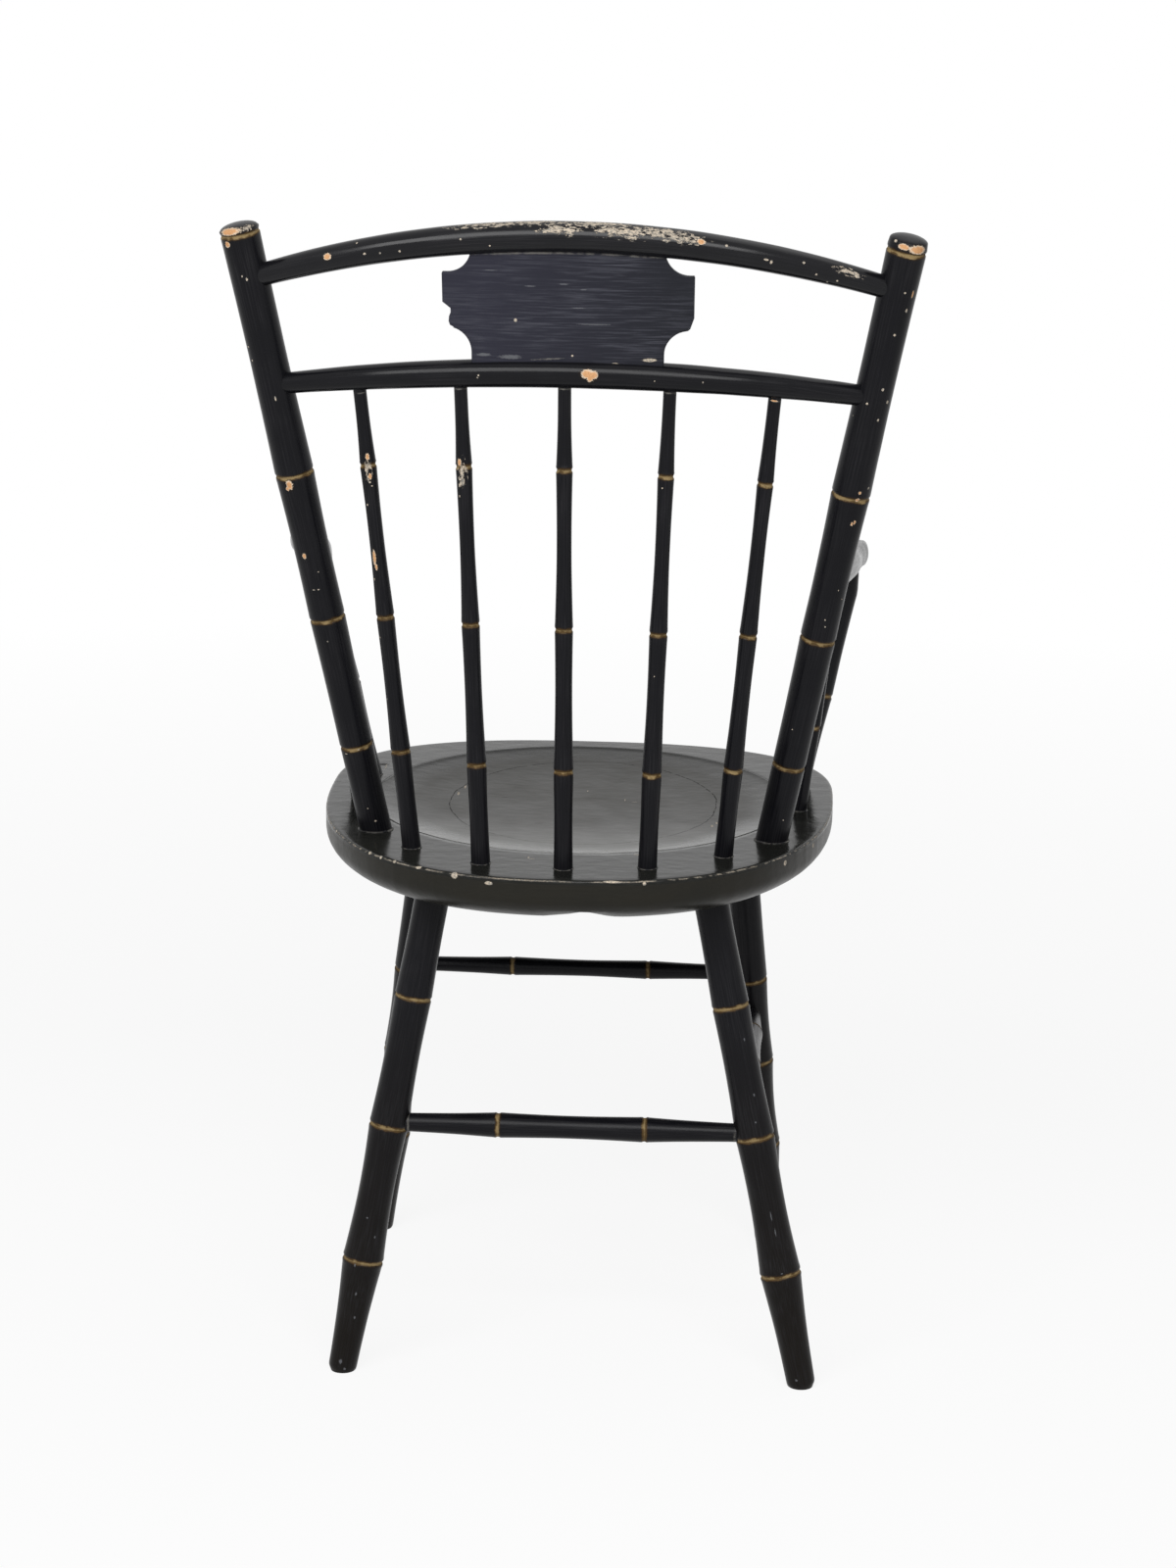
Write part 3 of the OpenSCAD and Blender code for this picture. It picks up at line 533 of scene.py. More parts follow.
def buildRail(name, node, rail, look, seed):
    steps, spread = rails["steps"], rails["spread"]
    bm = bmesh.new()
    along, seamGap = patternLayers(bm)
    circle, edges = startTube(bm, rails["sides"])
    before = Matrix.Identity(4)
    for k in range(steps + 1):
        share = railLimit(rail) * rails["past"] * (2 * k / steps - 1)
        if k:
            circle, edges = growTube(bm, edges)
        r = railR(share, rail) + rails["wobble"] * noise.noise((share * 9, seed * 3.3, 0))
        placed = Matrix.Translation(railAt(share, rail)) @ railFrame(share, rail)
        placed = placed @ Matrix.Diagonal((r, r, r, 1))
        bmesh.ops.transform(bm, matrix=placed @ before.inverted(), verts=circle)
        for vert in circle:
            flat = placed.inverted() @ vert.co
            vert[along] = (flat.x * r, flat.y * r, share * spread)
            vert[seamGap] = abs(abs(share) - railLimit(rail) * rails["seamAt"]) * spread
        before = placed
    bmesh.ops.contextual_create(bm, geom=edges)
    look = {**rails["look"], **look}
    for key in marks:
        spots = [(share * spread, *spot) for share, *spot in look.get(key, [])]
        look[key] = roundStick(lambda z: railR(z / spread, rail), spots)
    finishPiece(name, node, bm, paintedWood(name + "Paint", look))


# Back spindles
spindles = {
    "feet": (0, 63.77, 121), "tops": (0, 77, 154), "topsOff": 2, "inset": 33, "footR": 7.4, "topR": 4.9,
    "rings": (0.204, 0.494, 0.812), "lift": 0.0055, "swell": (1.08, 0.8, 0.52), "hollow": 1.0,
    "bays": (0.5, 0.8, 1, 0.4), "tenon": 8, "inRail": 4, "bead": 0.8,
}


def spindleEnds(i):
    # the feet stand on a line that runs inside the seat's back rim
    sign = (i > 0) - (i < 0)
    x, power = sign * spindles["feet"][abs(i)], seat["backPower"]
    inner = seat["half"] - spindles["inset"]
    y = (chair["rimY"] - spindles["inset"]) * (1 - (abs(x) / inner) ** power) ** (1 / power)
    topX = sign * spindles["tops"][abs(i)] + spindles["topsOff"]
    return onDeck(x, y), railAt(topX / railEnd(rails["mid"]["z"]).x, rails["mid"])


def buildSpindle(i, name, node, look):
    foot, top = spindleEnds(i)
    length = (top - foot).length
    footR, topR, hollow = spindles["footR"], spindles["topR"], spindles["hollow"] * spindles["bays"][0]
    heights = [(share + i * spindles["lift"]) * length for share in spindles["rings"]]
    rail = length - rails["mid"]["r"]
    stations = [plain(-spindles["tenon"], footR), plain(0, footR, hollow)]
    stations += ringStations(spindles, heights, topR, footR)
    stations += [plain(rail, topR), plain(length - spindles["inRail"], topR)]
    turnStick(name, node, foot, top, stations, look, i + 10, (deckSeam, rail - 0.4), spindles["bead"])


# Tablet between the rails
tablet = {
    "wide": 183, "lobe": 40, "corner": 18, "step": 3.5, "thick": 9, "inRail": 4, "lift": 3, "edge": 1.1,
    "cornerSteps": 12,
    # what is gone from each lobe's lower end: depth from the end, height above the lower corner
    "broken": {
        left: ((0.3, 18), (3.2, 15.9), (6.2, 13.5), (6.3, 10.6), (5.1, 7.6), (4.8, 4), (5.8, 1.2),
               (8.2, 0.1)),
        right: ((0.1, 9), (2.8, 1.4), (4.4, 0.1)),
    },
    "across": 8, "acrossEachWay": 11, "along": 9,  # the board is cut up so that it can bend with the rails
}


def inGroove(x, rail, way):
    share = x / railEnd(rail["z"]).x
    return railAt(share, rail).z + way * (railR(share, rail) - tablet["inRail"])


def tabletTop(x):
    return inGroove(x, rails["top"], -1)


def tabletFoot(x):
    return inGroove(x, rails["mid"], 1)


def tabletRim(bm, side, low, high, topZ, footZ):
    half = tablet["wide"] / 2
    shoulder = half - tablet["corner"] - tablet["step"]
    broken = tablet["broken"][side]
    arcs = []
    for start, turn in ((high + tablet["corner"], -1), (low - tablet["corner"], 1)):
        arc = [bm.verts.new((side * shoulder, 0, start))]
        seen = set(bm.verts)
        centre = (side * (shoulder + tablet["corner"]), 0, start)
        bmesh.ops.spin(bm, geom=arc[:], cent=centre, axis=(0, 1, 0), angle=side * turn * math.pi / 2,
                       steps=tablet["cornerSteps"], use_merge=False, use_duplicate=False)
        arcs.append(arc + sorted((v for v in bm.verts if v not in seen), key=lambda v: side * v.co.x))
    gone = [v for v in arcs[0] if v.co.z > topZ - 1]
    gone += [v for v in arcs[1] if abs(v.co.x) > half - broken[-1][0] + 0.1]
    upper, lower = ([v for v in arc if v not in gone] for arc in arcs)
    bmesh.ops.delete(bm, geom=gone, context="VERTS")
    chain = [bm.verts.new((side * shoulder, 0, topZ)), upper[0]]
    tip = [(half - 0.5, high), (half, high - 1.2)] + [(half - depth, low + up) for depth, up in broken]
    end = [upper[-1]] + [bm.verts.new((side * x, 0, z)) for x, z in tip] + [lower[-1]]
    foot = [lower[0], bm.verts.new((side * shoulder, 0, footZ))]
    for run in (chain, end, foot):
        for pair in zip(run, run[1:]):
            bm.edges.new(pair)
    return chain[0], foot[-1]


def buildTablet(name, node, look):
    thick = tablet["thick"]
    shoulder = tablet["wide"] / 2 - tablet["corner"] - tablet["step"]
    middle = (tabletTop(0) + tabletFoot(0)) / 2 + tablet["lift"]
    low, high = middle - tablet["lobe"] / 2, middle + tablet["lobe"] / 2
    topZ, footZ = tabletTop(shoulder), tabletFoot(shoulder)
    bm = bmesh.new()
    along, seamGap = patternLayers(bm)
    ends = [tabletRim(bm, side, low, high, topZ, footZ) for side in (left, right)]
    for pair in zip(*ends):
        bm.edges.new(pair)
    bmesh.ops.triangle_fill(bm, use_beauty=True, edges=bm.edges[:])
    made = bmesh.ops.extrude_face_region(bm, geom=bm.faces[:])["geom"]
    bmesh.ops.translate(bm, vec=(0, thick, 0), verts=only(bmesh.types.BMVert, made))
    bmesh.ops.translate(bm, vec=(0, -thick / 2, 0), verts=bm.verts)
    bmesh.ops.recalc_face_normals(bm, faces=bm.faces)
    rim = [e for e in bm.edges if len(e.link_faces) == 2 and e.calc_face_angle(0) > math.radians(60)
           and abs(e.verts[0].co.y - e.verts[1].co.y) < 1]
    bmesh.ops.bevel(bm, geom=rim, offset=tablet["edge"], segments=3, profile=0.5, affect="EDGES",
                    material=-1)
    for k in range(-tablet["acrossEachWay"], tablet["acrossEachWay"] + 1):
        cutAcross(bm, (k * tablet["across"], 0, 0), (1, 0, 0))
    for k in range(1, tablet["along"]):
        cutAcross(bm, (0, 0, mix(footZ, topZ, k / tablet["along"])), (0, 0, 1))
    topMiddle, footMiddle = railAt(0, rails["top"]), railAt(0, rails["mid"])
    for vert in bm.verts:
        x, depth, z = vert.co
        inner = min(abs(x), shoulder)  # the top and foot edges follow the rails
        z += (tabletTop(inner) - topZ) * min(1, max(0, (z - high) / (topZ - high)))
        z += (tabletFoot(inner) - footZ) * min(1, max(0, (low - z) / (low - footZ)))
        lean = (z - footMiddle.z) / (topMiddle.z - footMiddle.z)
        share = x / railEnd(rails["top"]["z"]).x
        vert[along] = (depth, z - middle, x)
        vert[seamGap] = min(abs(z - tabletTop(x) + tablet["inRail"] + 0.3),
                            abs(z - tabletFoot(x) - tablet["inRail"] - 0.3))
        vert.co.z = z
        vert.co.y = mix(footMiddle.y, topMiddle.y, lean) - rails["bow"] * share * share + depth
    look = dict(look)
    for key in marks:
        look[key] = [((thick / 2, up, x), (2 * size, size, size * long))
                     for x, up, size, long in look.get(key, [])]
    finishPiece(name, node, bm, paintedWood(name + "Paint", look))


# Arms, their stumps and spindles
arms = {
    "z": 637, "drop": 21, "reach": 306, "flare": {left: 51, right: 22.5}, "bow": {left: -3.8, right: -0.5},
    "sway": {left: 2.7, right: -3.3}, "thick": 20, "edge": 5, "sides": 40,
    "start": 0.03, "steps": 46, "seamAt": 12.6,  # where an arm starts inside its post, and its dust line
    "widths": ((0.04, 10), (0.2, 11.5), (0.42, 12.5), (0.62, 11.5), (0.8, 10.5), (0.89, 12.5), (0.95, 15),
               (1, 15)),
    "handR": 15, "handTurns": (12, 24, 36, 47, 57, 66, 74, 80, 85, 88.5),
    "stumpFoot": (179.5, -22.32), "stumpRake": 15, "stumpR": 10.5, "stumpFootR": 9.4, "stumpRing": 0.43,
    "crown": ((-23, 10.8), (-17, 11), (-12, 10.6), (0, 8.5), (4, 7.5)),  # from the arm's underside, radius
    "spindleFoot": (180, 57.68), "spindleR": 6.1, "spindleTopR": 4.8, "spindleRing": 0.37,
    "tenon": 6, "inArm": 4, "hollow": 1.0, "bead": 0.8,
}


def armJoint(side):
    return atHeight(*postEnds(side), arms["z"])


def armAt(side, share):
    joint = armJoint(side)
    out = (arms["flare"][side] * share + arms["bow"][side] * math.sin(math.pi * share)
           + arms["sway"][side] * math.sin(2 * math.pi * share))
    return Vector((joint.x + side * out, joint.y - arms["reach"] * share, arms["z"] - arms["drop"] * share))


def armWidth(share):
    points = arms["widths"]
    if share <= points[0][0]:
        return points[0][1]
    for (s0, w0), (s1, w1) in zip(points, points[1:]):
        if share <= s1:
            t = (share - s0) / (s1 - s0)
            return mix(w0, w1, t * t * (3 - 2 * t))
    return points[-1][1]


def buildArm(side, name, node, look):
    reach, handR = arms["reach"], arms["handR"]
    shares = [mix(arms["start"], 1, k / arms["steps"]) for k in range(arms["steps"] + 1)]
    shares += [1 + handR / reach * sine(a) for a in arms["handTurns"]]
    bm = bmesh.new()
    along, seamGap = patternLayers(bm)
    circle, edges = startTube(bm, arms["sides"])
    around = {vert: vert.co.copy() for vert in circle}
    for k, share in enumerate(shares):
        if k:
            circle, edges = growTube(bm, edges)
            around = carryOver(circle, around)
        past = max(0, (share - 1) * reach)
        half, tall, edge = armWidth(share), arms["thick"] / 2, arms["edge"]
        if past:
            half = math.sqrt(max(0.04, handR ** 2 - past ** 2))
            shy = max(0, past - (handR - edge)) / edge
            tall *= math.sqrt(max(0.02, 1 - shy * shy * 0.98))
            edge = min(edge, half)
        slope = (armAt(side, min(share + 0.01, 1)) - armAt(side, min(share, 1) - 0.01)).normalized()
        across = slope.cross(upward).normalized()
        turn = Matrix((across, across.cross(slope), slope)).transposed().to_4x4()
        placed = Matrix.Translation(armAt(side, min(share, 1)) + slope * past) @ turn
        for vert, spot in around.items():  # flat above and below, round at the edges
            flatHalf = (half - edge) * max(-1, min(1, spot.x * 4))
            flat = Vector((flatHalf + edge * spot.x, tall * spot.y, 0))
            vert.co = placed @ flat
            vert[along] = (flat.x, flat.y, share * reach)
            vert[seamGap] = abs(share * reach - arms["seamAt"])
    bmesh.ops.contextual_create(bm, geom=edges)
    finishPiece(name, node, bm, paintedWood(name + "Paint", look))


def underArm(side, y):
    return armAt(side, (armJoint(right).y - y) / arms["reach"]) - Vector((0, 0, arms["thick"] / 2))


def buildStump(side, name, node, look):
    x, y = arms["stumpFoot"]
    foot, top = onDeck(side * x, y), underArm(side, y - arms["stumpRake"])
    length = (top - foot).length
    stations = [plain(-arms["tenon"], arms["stumpFootR"], arms["hollow"]),
                ringed(arms["stumpRing"] * length, arms["stumpR"], arms["hollow"] / 2)]
    stations += [plain(length + up, r) for up, r in arms["crown"]]
    turnStick(name, node, foot, top, stations, look, side + 20, (deckSeam, length - 0.6), arms["bead"])


def buildArmSpindle(side, name, node, look):
    x, y = arms["spindleFoot"]
    foot, top = onDeck(side * x, y), underArm(side, y)
    length = (top - foot).length
    stations = [plain(-arms["tenon"], arms["spindleR"]), plain(0, arms["spindleR"], arms["hollow"] / 2),
                ringed(arms["spindleRing"] * length, arms["spindleR"], arms["hollow"] / 2),
                plain(length, arms["spindleTopR"]), plain(length + arms["inArm"], arms["spindleTopR"])]
    turnStick(name, node, foot, top, stations, look, side + 30, (deckSeam, length - 0.6), arms["bead"])


# Legs and stretchers
legs = {
    "rearTop": (108.5, 181.68), "rearFoot": (183.5, 222.68), "rearTopsOff": -3, "rearFeetOff": -10,
    "frontTop": (131, -38.32), "frontFoot": (173, -98.32), "frontTopsOff": 0, "frontFeetOff": 8,
    "tenon": (-7, 13.5), "topR": 13.7, "firstR": 14.7, "ringR": 16.3, "hollow": 2.0,
    "bays": (0.25, 0.6, 1, 0.45), "rearRings": (0.22, 0.486, 0.766), "frontRings": (0.358, 0.552, 0.755),
    "swell": (0, 0.45, 1),
    # the toe's radii, from the floor point along the leg; what is under the floor is cut off
    "toe": ((-4.5, 11.3), (-2.6, 11), (-0.8, 10.1), (1.2, 8.9), (4, 7.5), (9, 6.3)),
}


def legEnds(side, place):
    x, y = legs[place + "Top"]
    footX, footY = legs[place + "Foot"]
    return (underDeck(side * x + legs[place + "TopsOff"], y),
            Vector((side * footX + legs[place + "FeetOff"], footY, 0)))


def buildLeg(side, place, name, node, look):
    top, foot = legEnds(side, place)
    length = (foot - top).length
    heights = [share * length for share in legs[place + "Rings"]]
    stations = [plain(*legs["tenon"]), plain(0, legs["topR"], legs["hollow"] * legs["bays"][0])]
    stations += ringStations(legs, heights, legs["firstR"], legs["ringR"])
    stations += [plain(length + past, r) for past, r in legs["toe"]]
    seed = side + (40 if place == "rear" else 50)
    turnStick(name, node, top, foot, stations, look, seed, (underSeam,), 0, True)


stretchers = {
    "backZ": 202, "frontZ": 257, "sideZ": 236, "sideFrontZ": 220, "ring": 0.3, "root": 18.3, "inLeg": 4,
    "r": 10, "endR": 7.4, "frontR": 8, "frontEndR": 6.3, "hollow": 1.0,
}


def legAt(side, place, z):
    return atHeight(*legEnds(side, place), z)


def buildStretcher(p, q, r, endR, name, node, seed):
    length = (q - p).length
    hollow, ring, root, inLeg = (stretchers[key] for key in ("hollow", "ring", "root", "inLeg"))
    stations = [plain(inLeg, endR), plain(root, endR, hollow / 3),
                ringed(ring * length, r, hollow), ringed((1 - ring) * length, r, hollow / 3),
                plain(length - root, endR), plain(length - inLeg, endR)]
    seam = legs["ringR"] - 0.7
    turnStick(name, node, p, q, stations, {}, seed, (seam, length - seam))


# Seat plank. Its marks lie on the plank's own plane: X, Y, and Z below the top face.
seat = {
    "half": 208, "deep": 437, "wideShare": 0.36, "backPower": 2.45, "frontPower": 2.6,
    "round": 2.5, "band": 12, "bevel": 45, "sides": 224,
    "dishR": 171, "dishDeep": 9, "dishPower": 2.6, "dishY": 35, "dishRings": 24,
    "line": 2.4,  # width of the line cut round the hollow, then its steps from there out and their depths
    "lineCut": ((-0.95, 0.25), (-0.6, 0.95), (-0.2, 1.35), (0.2, 1.35), (0.6, 0.9), (1.0, 0.2), (1.5, 0)),
    "wave": 0.5,  # how far the underside's hand-cut edge wanders
    "nick": (-17, 15, 4.6),  # place, half width and height of a dip in the underside's back edge
    "shine": 0.145, "gloss": (0.13, 0.23), "black": (0.0085, 0.0088, 0.0078), "worn": (0.030, 0.030, 0.026),
    "specks": 0.02,
    "paintedSheen": (0.20, 0.20, 0.192),  # painted sheen: a pale grey that stands in for the reflection where the hollow rises to the back
    "crack": ((-2.5, 31, 0), (110, 130, 400)),  # middle and half widths of the hairline crack in the hollow
    "pale": [((185.8, 156.1, -1), (1.2, 1.6, 1.2)), ((151.7, 216.4, -0.8), (1.6, 1.6, 1.4)),
             ((141.8, 227.6, -0.8), (1.3, 1.8, 1.6)), ((130, 238.7, -0.8), (1.6, 1.6, 1.2)),
             ((109.9, 253.3, -0.8), (3.2, 1.6, 1.2)), ((80.9, 267.4, -2), (2.7, 3, 2.6)),
             ((54.5, 275.3, -5), (3.2, 2, 1.5)), ((-38.9, 277, -0.9), (8, 1.6, 0.9)),
             ((-63, 273.5, -2.6), (1.4, 1.6, 1.3)), ((-169, 192.2, -6.5), (2.2, 2.2, 2.2)),
             ((-191, 141.5, -6), (2, 2, 2)), ((102.6, 10.8, -7), (1, 5, 9)), ((99, -10, -7), (0.8, 5, 9)),
             ((-110, 96, -7), (1, 4, 9)), ((-113.5, 86, -7), (1, 3.4, 9)),
             ((-117.2, 72, -7), (0.8, 2.6, 9)), ((-36, 9, -8), (0.5, 3, 9)),
             ((-44, 14.3, -8), (2.4, 0.5, 9)), ((-3.5, -16.7, -8), (0.5, 2, 9)),
             ((26, 223, 0), (2.6, 0.6, 2)), ((28.5, 219.5, 0), (0.6, 2.4, 2)),
             ((-54.7, 203.5, 0), (3, 1, 2)), ((170, -47, 0), (0.5, 9, 2))],
    "dark": [((132, -62, -6), (4.5, 0.5, 9)), ((205, 6, -1), (4, 0.6, 4)), ((173, -54, 0), (5, 4, 4)),
             ((64, 12, -8), (3, 0.4, 9)), ((-60, 120, -7), (2.5, 0.4, 9)), ((30, 90, -8), (4, 0.35, 9))],
}


def plankEdge(a, inset):
    # a point of the plank's outline, drawn in by inset
    c, s = math.cos(a), math.sin(a)
    power = seat["backPower"] if s >= 0 else seat["frontPower"]
    reach = seat["deep"] * ((1 - seat["wideShare"]) if s >= 0 else seat["wideShare"])
    return Vector((math.copysign(abs(c) ** (2 / power), c) * (seat["half"] - inset),
                   math.copysign(abs(s) ** (2 / power), s) * (reach - inset), 0))


def lineDepth(toBack):
    # old paint fills the line at the front of the hollow
    return min(1, max(0.15, 0.45 + 1.2 * toBack))


def plankPaint(name):
    material, tree, shader = newMaterial(name)
    along, rimGap = piecePattern(tree)
    toBack, depth = axis(along, "Y"), axis(along, "Z")

    strokes = grainNoise(along, (0.014, 0.8, 0.8), 5)  # the brush went across the plank
    blotch = grainNoise(along, (0.022, 0.022, 0.05), 3)
    jag = grainNoise(along, (0.8, 0.8, 0.8), 5, 0.7)
    crumb = grainNoise(along, (1.6, 1.6, 1.6), 6, 0.75)
    streaks = grainNoise(along, (0.03, 0.3, 0.3), 3)
    drift = grainNoise(along, (0.03, 0.03, 0.03), 4)
    waves = grainNoise(along, (0.06, 0.09, 0.09), 2)

    thin = times(ramp(strokes, 0.44, 0.72), ramp(blotch, 0.35, 0.65, 0.15, 0.85))
    colour = blendTones(thin, seat["black"], seat["worn"])
    side = times(ramp(depth, -1.5, -4), ramp(rimGap, 0.6, 3))
    colour = blendTones(times(side, ramp(blotch, 0.3, 0.7, 0.6, 1)), colour, tones["olive"])

    # the line cut round the hollow carries painted shade, stronger towards the back; the crack inside it
    # and a few marks are dark
    fromMiddle = spotDistance(along, [((0, seat["dishY"], 0), (seat["dishR"], seat["dishR"], 4000))])
    fromLine = times(calc("ABSOLUTE", calc("SUBTRACT", fromMiddle, 0.993)), seat["dishR"])
    # painted shade in the cut line, faint at the front and strong towards the back
    line = times(ramp(fromLine, 0.9, 0.4), ramp(depth, -3, -1.8))
    line = times(line, ramp(toBack, -40, 120, 0.1, 0.9))
    away = plus(spotDistance(along, [seat["crack"]]), ramp(drift, 0.3, 0.7, -0.012, 0.012))
    away = times(calc("ABSOLUTE", calc("SUBTRACT", away, 1)), seat["crack"][1][0])
    crack = times(ramp(away, 0.55, 0.25), ramp(streaks, 0.40, 0.46))
    crack = times(crack, ramp(depth, -3, -5))
    ragged = ramp(jag, 0.25, 0.75, -0.35, 0.35)
    dark = ramp(plus(spotDistance(along, seat["dark"]), ragged), 1.1, 0.8)
    dark = most(most(line, crack), dark)
    colour = blendTones(dark, colour, tones["crackMarkAndShadeBlack"])
    # painted reflection: a pale grey where the hollow rises to the back stands in for its sheen
    paintedSheen = times(ramp(toBack, 70, 205), ramp(fromMiddle, 1.0, 0.985))
    colour = blendTones(times(paintedSheen, ramp(streaks, 0.25, 0.7, 0.7, 1)), colour, seat["paintedSheen"])

    # the worn line along the rim, nicks and specks
    rim = ramp(plus(rimGap, ramp(crumb, 0.3, 0.7, -0.4, 0.4)), 0.5, 0.25)
    rim = times(rim, ramp(streaks, 0.44, 0.56))
    nick = ramp(plus(spotDistance(along, seat["pale"]), ragged), 1.05, 0.9)
    nick = most(nick, specks(along, crumb, 0.12, 0.04, (0.02, 0.06), seat["specks"]))
    paleTone = blendTones(ramp(jag, 0.42, 0.6), tones["dust"], tones["cream"])
    colour = blendTones(times(rim, 0.55), colour, paleTone)
    colour = blendTones(nick, colour, paleTone)

    gloss = plus(ramp(blotch, 0.3, 0.7, *seat["gloss"]), times(side, 0.16))
    bare = most(nick, most(rim, dark))
    lift = calc("SUBTRACT", plus(times(strokes, 0.05), times(waves, 0.35)), times(bare, 0.12))
    finishPaint(shader, colour, gloss, bare, seat["shine"], lift)
    return material


def buildSeat(name, node):
    count, dishR, rounding = seat["sides"], seat["dishR"], seat["round"]
    centre = Vector((0, seat["dishY"], 0))
    angles = [2 * math.pi * (k + 0.5) / count for k in range(count)]
    rays = [(plankEdge(a, 0) - centre).normalized() for a in angles]
    outer = [plankEdge(a, rounding) for a in angles]
    rings = []  # each ring is a list of points, from the middle of the hollow out to the underside
    gaps = []  # and how far each ring lies from the worn corner of the rim
    for k in range(1, seat["dishRings"] + 1):
        r = (dishR - seat["line"] - 0.6) * (k / seat["dishRings"]) ** 0.85
        drop = seat["dishDeep"] * (1 - (r / dishR) ** seat["dishPower"])
        rings.append([centre + d * r + Vector((0, 0, -drop)) for d in rays])
    rim = dishR - seat["line"] / 2
    for step, drop in seat["lineCut"]:
        rings.append([centre + d * (rim + step) + Vector((0, 0, -drop * lineDepth(d.y))) for d in rays])
    for share in (0.08, 0.2, 0.4, 0.6, 0.8, 0.93, 1):
        rings.append([mix(centre + d * (rim + 1.6), o, share) for d, o in zip(rays, outer)])
    gaps += [20] * (len(rings) - 2) + [4, 2]
    for a in (18, 36, 54, 72, 90):
        fall = Vector((0, 0, rounding * (cosine(a) - 1)))
        rings.append([plankEdge(t, rounding * (1 - sine(a))) + fall for t in angles])
        gaps.append(abs(a - 54) / 90 * 2.6)
    flat = rounding + seat["band"]
    rings.append([plankEdge(t, 0) + Vector((0, 0, -rounding - seat["band"] * 0.5)) for t in angles])
    gaps.append(7)
    for a in range(0, 91, 6):
        drop = (chair["thick"] - flat) * sine(a)
        inset = seat["bevel"] * (1 - cosine(a))
        wave = seat["wave"] * sine(a)
        ring = [plankEdge(t, inset + wave * (1 + noise.noise((5 * math.cos(t), 5 * math.sin(t), 3))))
                for t in angles]
        for point in ring:
            off = (point.x - seat["nick"][0]) / seat["nick"][1]
            dip = seat["nick"][2] * math.exp(-off * off) if point.y > 0 and a > 30 else 0
            point.z = -flat - drop + dip * sine(a)
        rings.append(ring)
        gaps.append(14)
    bm = bmesh.new()
    along, seamGap = patternLayers(bm)
    circle, edges = startTube(bm, count)
    turned = {vert: round(math.atan2(vert.co.y, vert.co.x) / (2 * math.pi) * count - 0.5) % count
              for vert in circle}
    for k, (ring, gap) in enumerate(zip(rings, gaps)):
        if k:
            circle, edges = growTube(bm, edges)
            turned = carryOver(circle, turned)
        for vert, place in turned.items():
            vert.co = ring[place]
            vert[along] = vert.co
            vert[seamGap] = gap
    bmesh.ops.contextual_create(bm, geom=edges)
    hinge = Matrix.Translation((0, chair["rimY"], chair["deckHigh"]))
    tilted = hinge @ deckTilt @ Matrix.Translation((0, -chair["rimY"], 0))
    bmesh.ops.transform(bm, matrix=tilted, verts=bm.verts)
    finishPiece(name, node, bm, plankPaint(name + "Paint"))


print("seat plank")
buildSeat("seatPlank", "seat")

print("back posts")
buildPost(left, "leftPost", "left_back_post", {
    "chips": [(493.4, 66, 8.6, 0.26), (484.4, 53, 2.3, 1.15), (296.4, 77, 2.6, 1.5), (293.5, 68, 1.5, 1),
              (238.4, 70, 1.5, 1.5)],
    "flecks": [(457.3, 90, 0.8, 1.6), (460, 78, 0.7, 1), (405.3, 35, 0.9, 1), (394.8, 40, 0.9, 1),
               (364.5, 94, 0.6, 3), (224.3, 104, 0.5, 1), (210.6, 76, 0.9, 0.5), (210.4, 92, 0.9, 0.5),
               (167.5, 83, 0.5, 1), (71.4, 53, 1.3, 0.3), (74.1, 103, 1.0, 0.3), (23.7, 89, 0.5, 1),
               (12, 106, 0.9, 0.8)],
    "worn": [(493.8, 120, 7, 0.4), (494.4, 140, 5, 0.4)],
})
buildPost(right, "rightPost", "right_back_post", {
    "chips": [(489.6, 120, 6.8, 0.46), (490.2, 77, 4.4, 0.5), (455.6, 139, 0.8, 4), (294.8, 110, 1.5, 1),
              (300.3, 112, 1.2, 1), (276.6, 118, 1.0, 1.6), (275.2, 110, 0.9, 1.8)],
    "flecks": [(492.4, 45, 1.4, 0.8), (456.9, 110, 0.8, 1), (443.5, 129, 1.0, 1.5), (424.5, 108, 0.9, 1),
               (382, 111, 1.0, 1.2), (372.2, 139, 1.1, 1.2), (369.4, 73, 0.9, 1), (358.2, 118, 0.8, 1.3),
               (304, 141, 1.0, 1), (281.2, 170, 0.9, 1.6), (220.5, 118, 0.5, 1), (212.6, 143, 0.5, 1),
               (195.6, 96, 0.6, 1), (190.1, 101, 0.6, 1), (101.2, 71, 0.5, 1), (23.9, 112, 0.6, 1)],
})

print("rails")
buildRail("topRail", "top_rail", rails["top"], {
    "shine": 0.20,
    "chips": [(0.725, 8, 2.4, 1.3), (-0.393, 23, 2.0, 1.6)],
    "flecks": [(0.632, 46, 0.8, 1), (0.61, -8, 0.8, 1.4), (0.5625, -15, 0.7, 1), (0.5025, -18, 0.9, 1),
               (0.23, -27, 0.7, 1), (0.315, 5, 0.8, 1), (-0.4675, 22, 0.9, 1.2), (-0.588, -6, 0.8, 2.4),
               (-0.604, -12, 1.4, 0.7), (-0.7425, -25, 0.8, 1), (-0.783, -53, 0.7, 1),
               (-0.808, -33, 0.8, 1), (-0.698, 13, 0.9, 1.2), (-0.82, 20, 1.2, 2), (-0.86, 10, 1, 2)],
    "worn": [(0.25, 62, 5, 7), (0.1, 70, 6, 7), (0.02, 30, 6, 4), (-0.1, 66, 7, 6), (-0.18, 35, 8, 5),
             (-0.27, 40, 8, 4), (-0.34, 28, 6, 4), (-0.84, 22, 4, 4)],
}, 1)
buildRail("midRail", "mid_rail", rails["mid"], {
    "chips": [(-0.066, 6, 3.4, 1.5), (-0.086, 2, 3.2, 1.1), (-0.075, -10, 3.0, 0.9)],
    "flecks": [(0.2825, -3, 0.7, 1), (0.286, -12, 0.6, 1), (-0.28, -12, 0.5, 1), (-0.433, -6, 0.6, 1)],
}, 2)

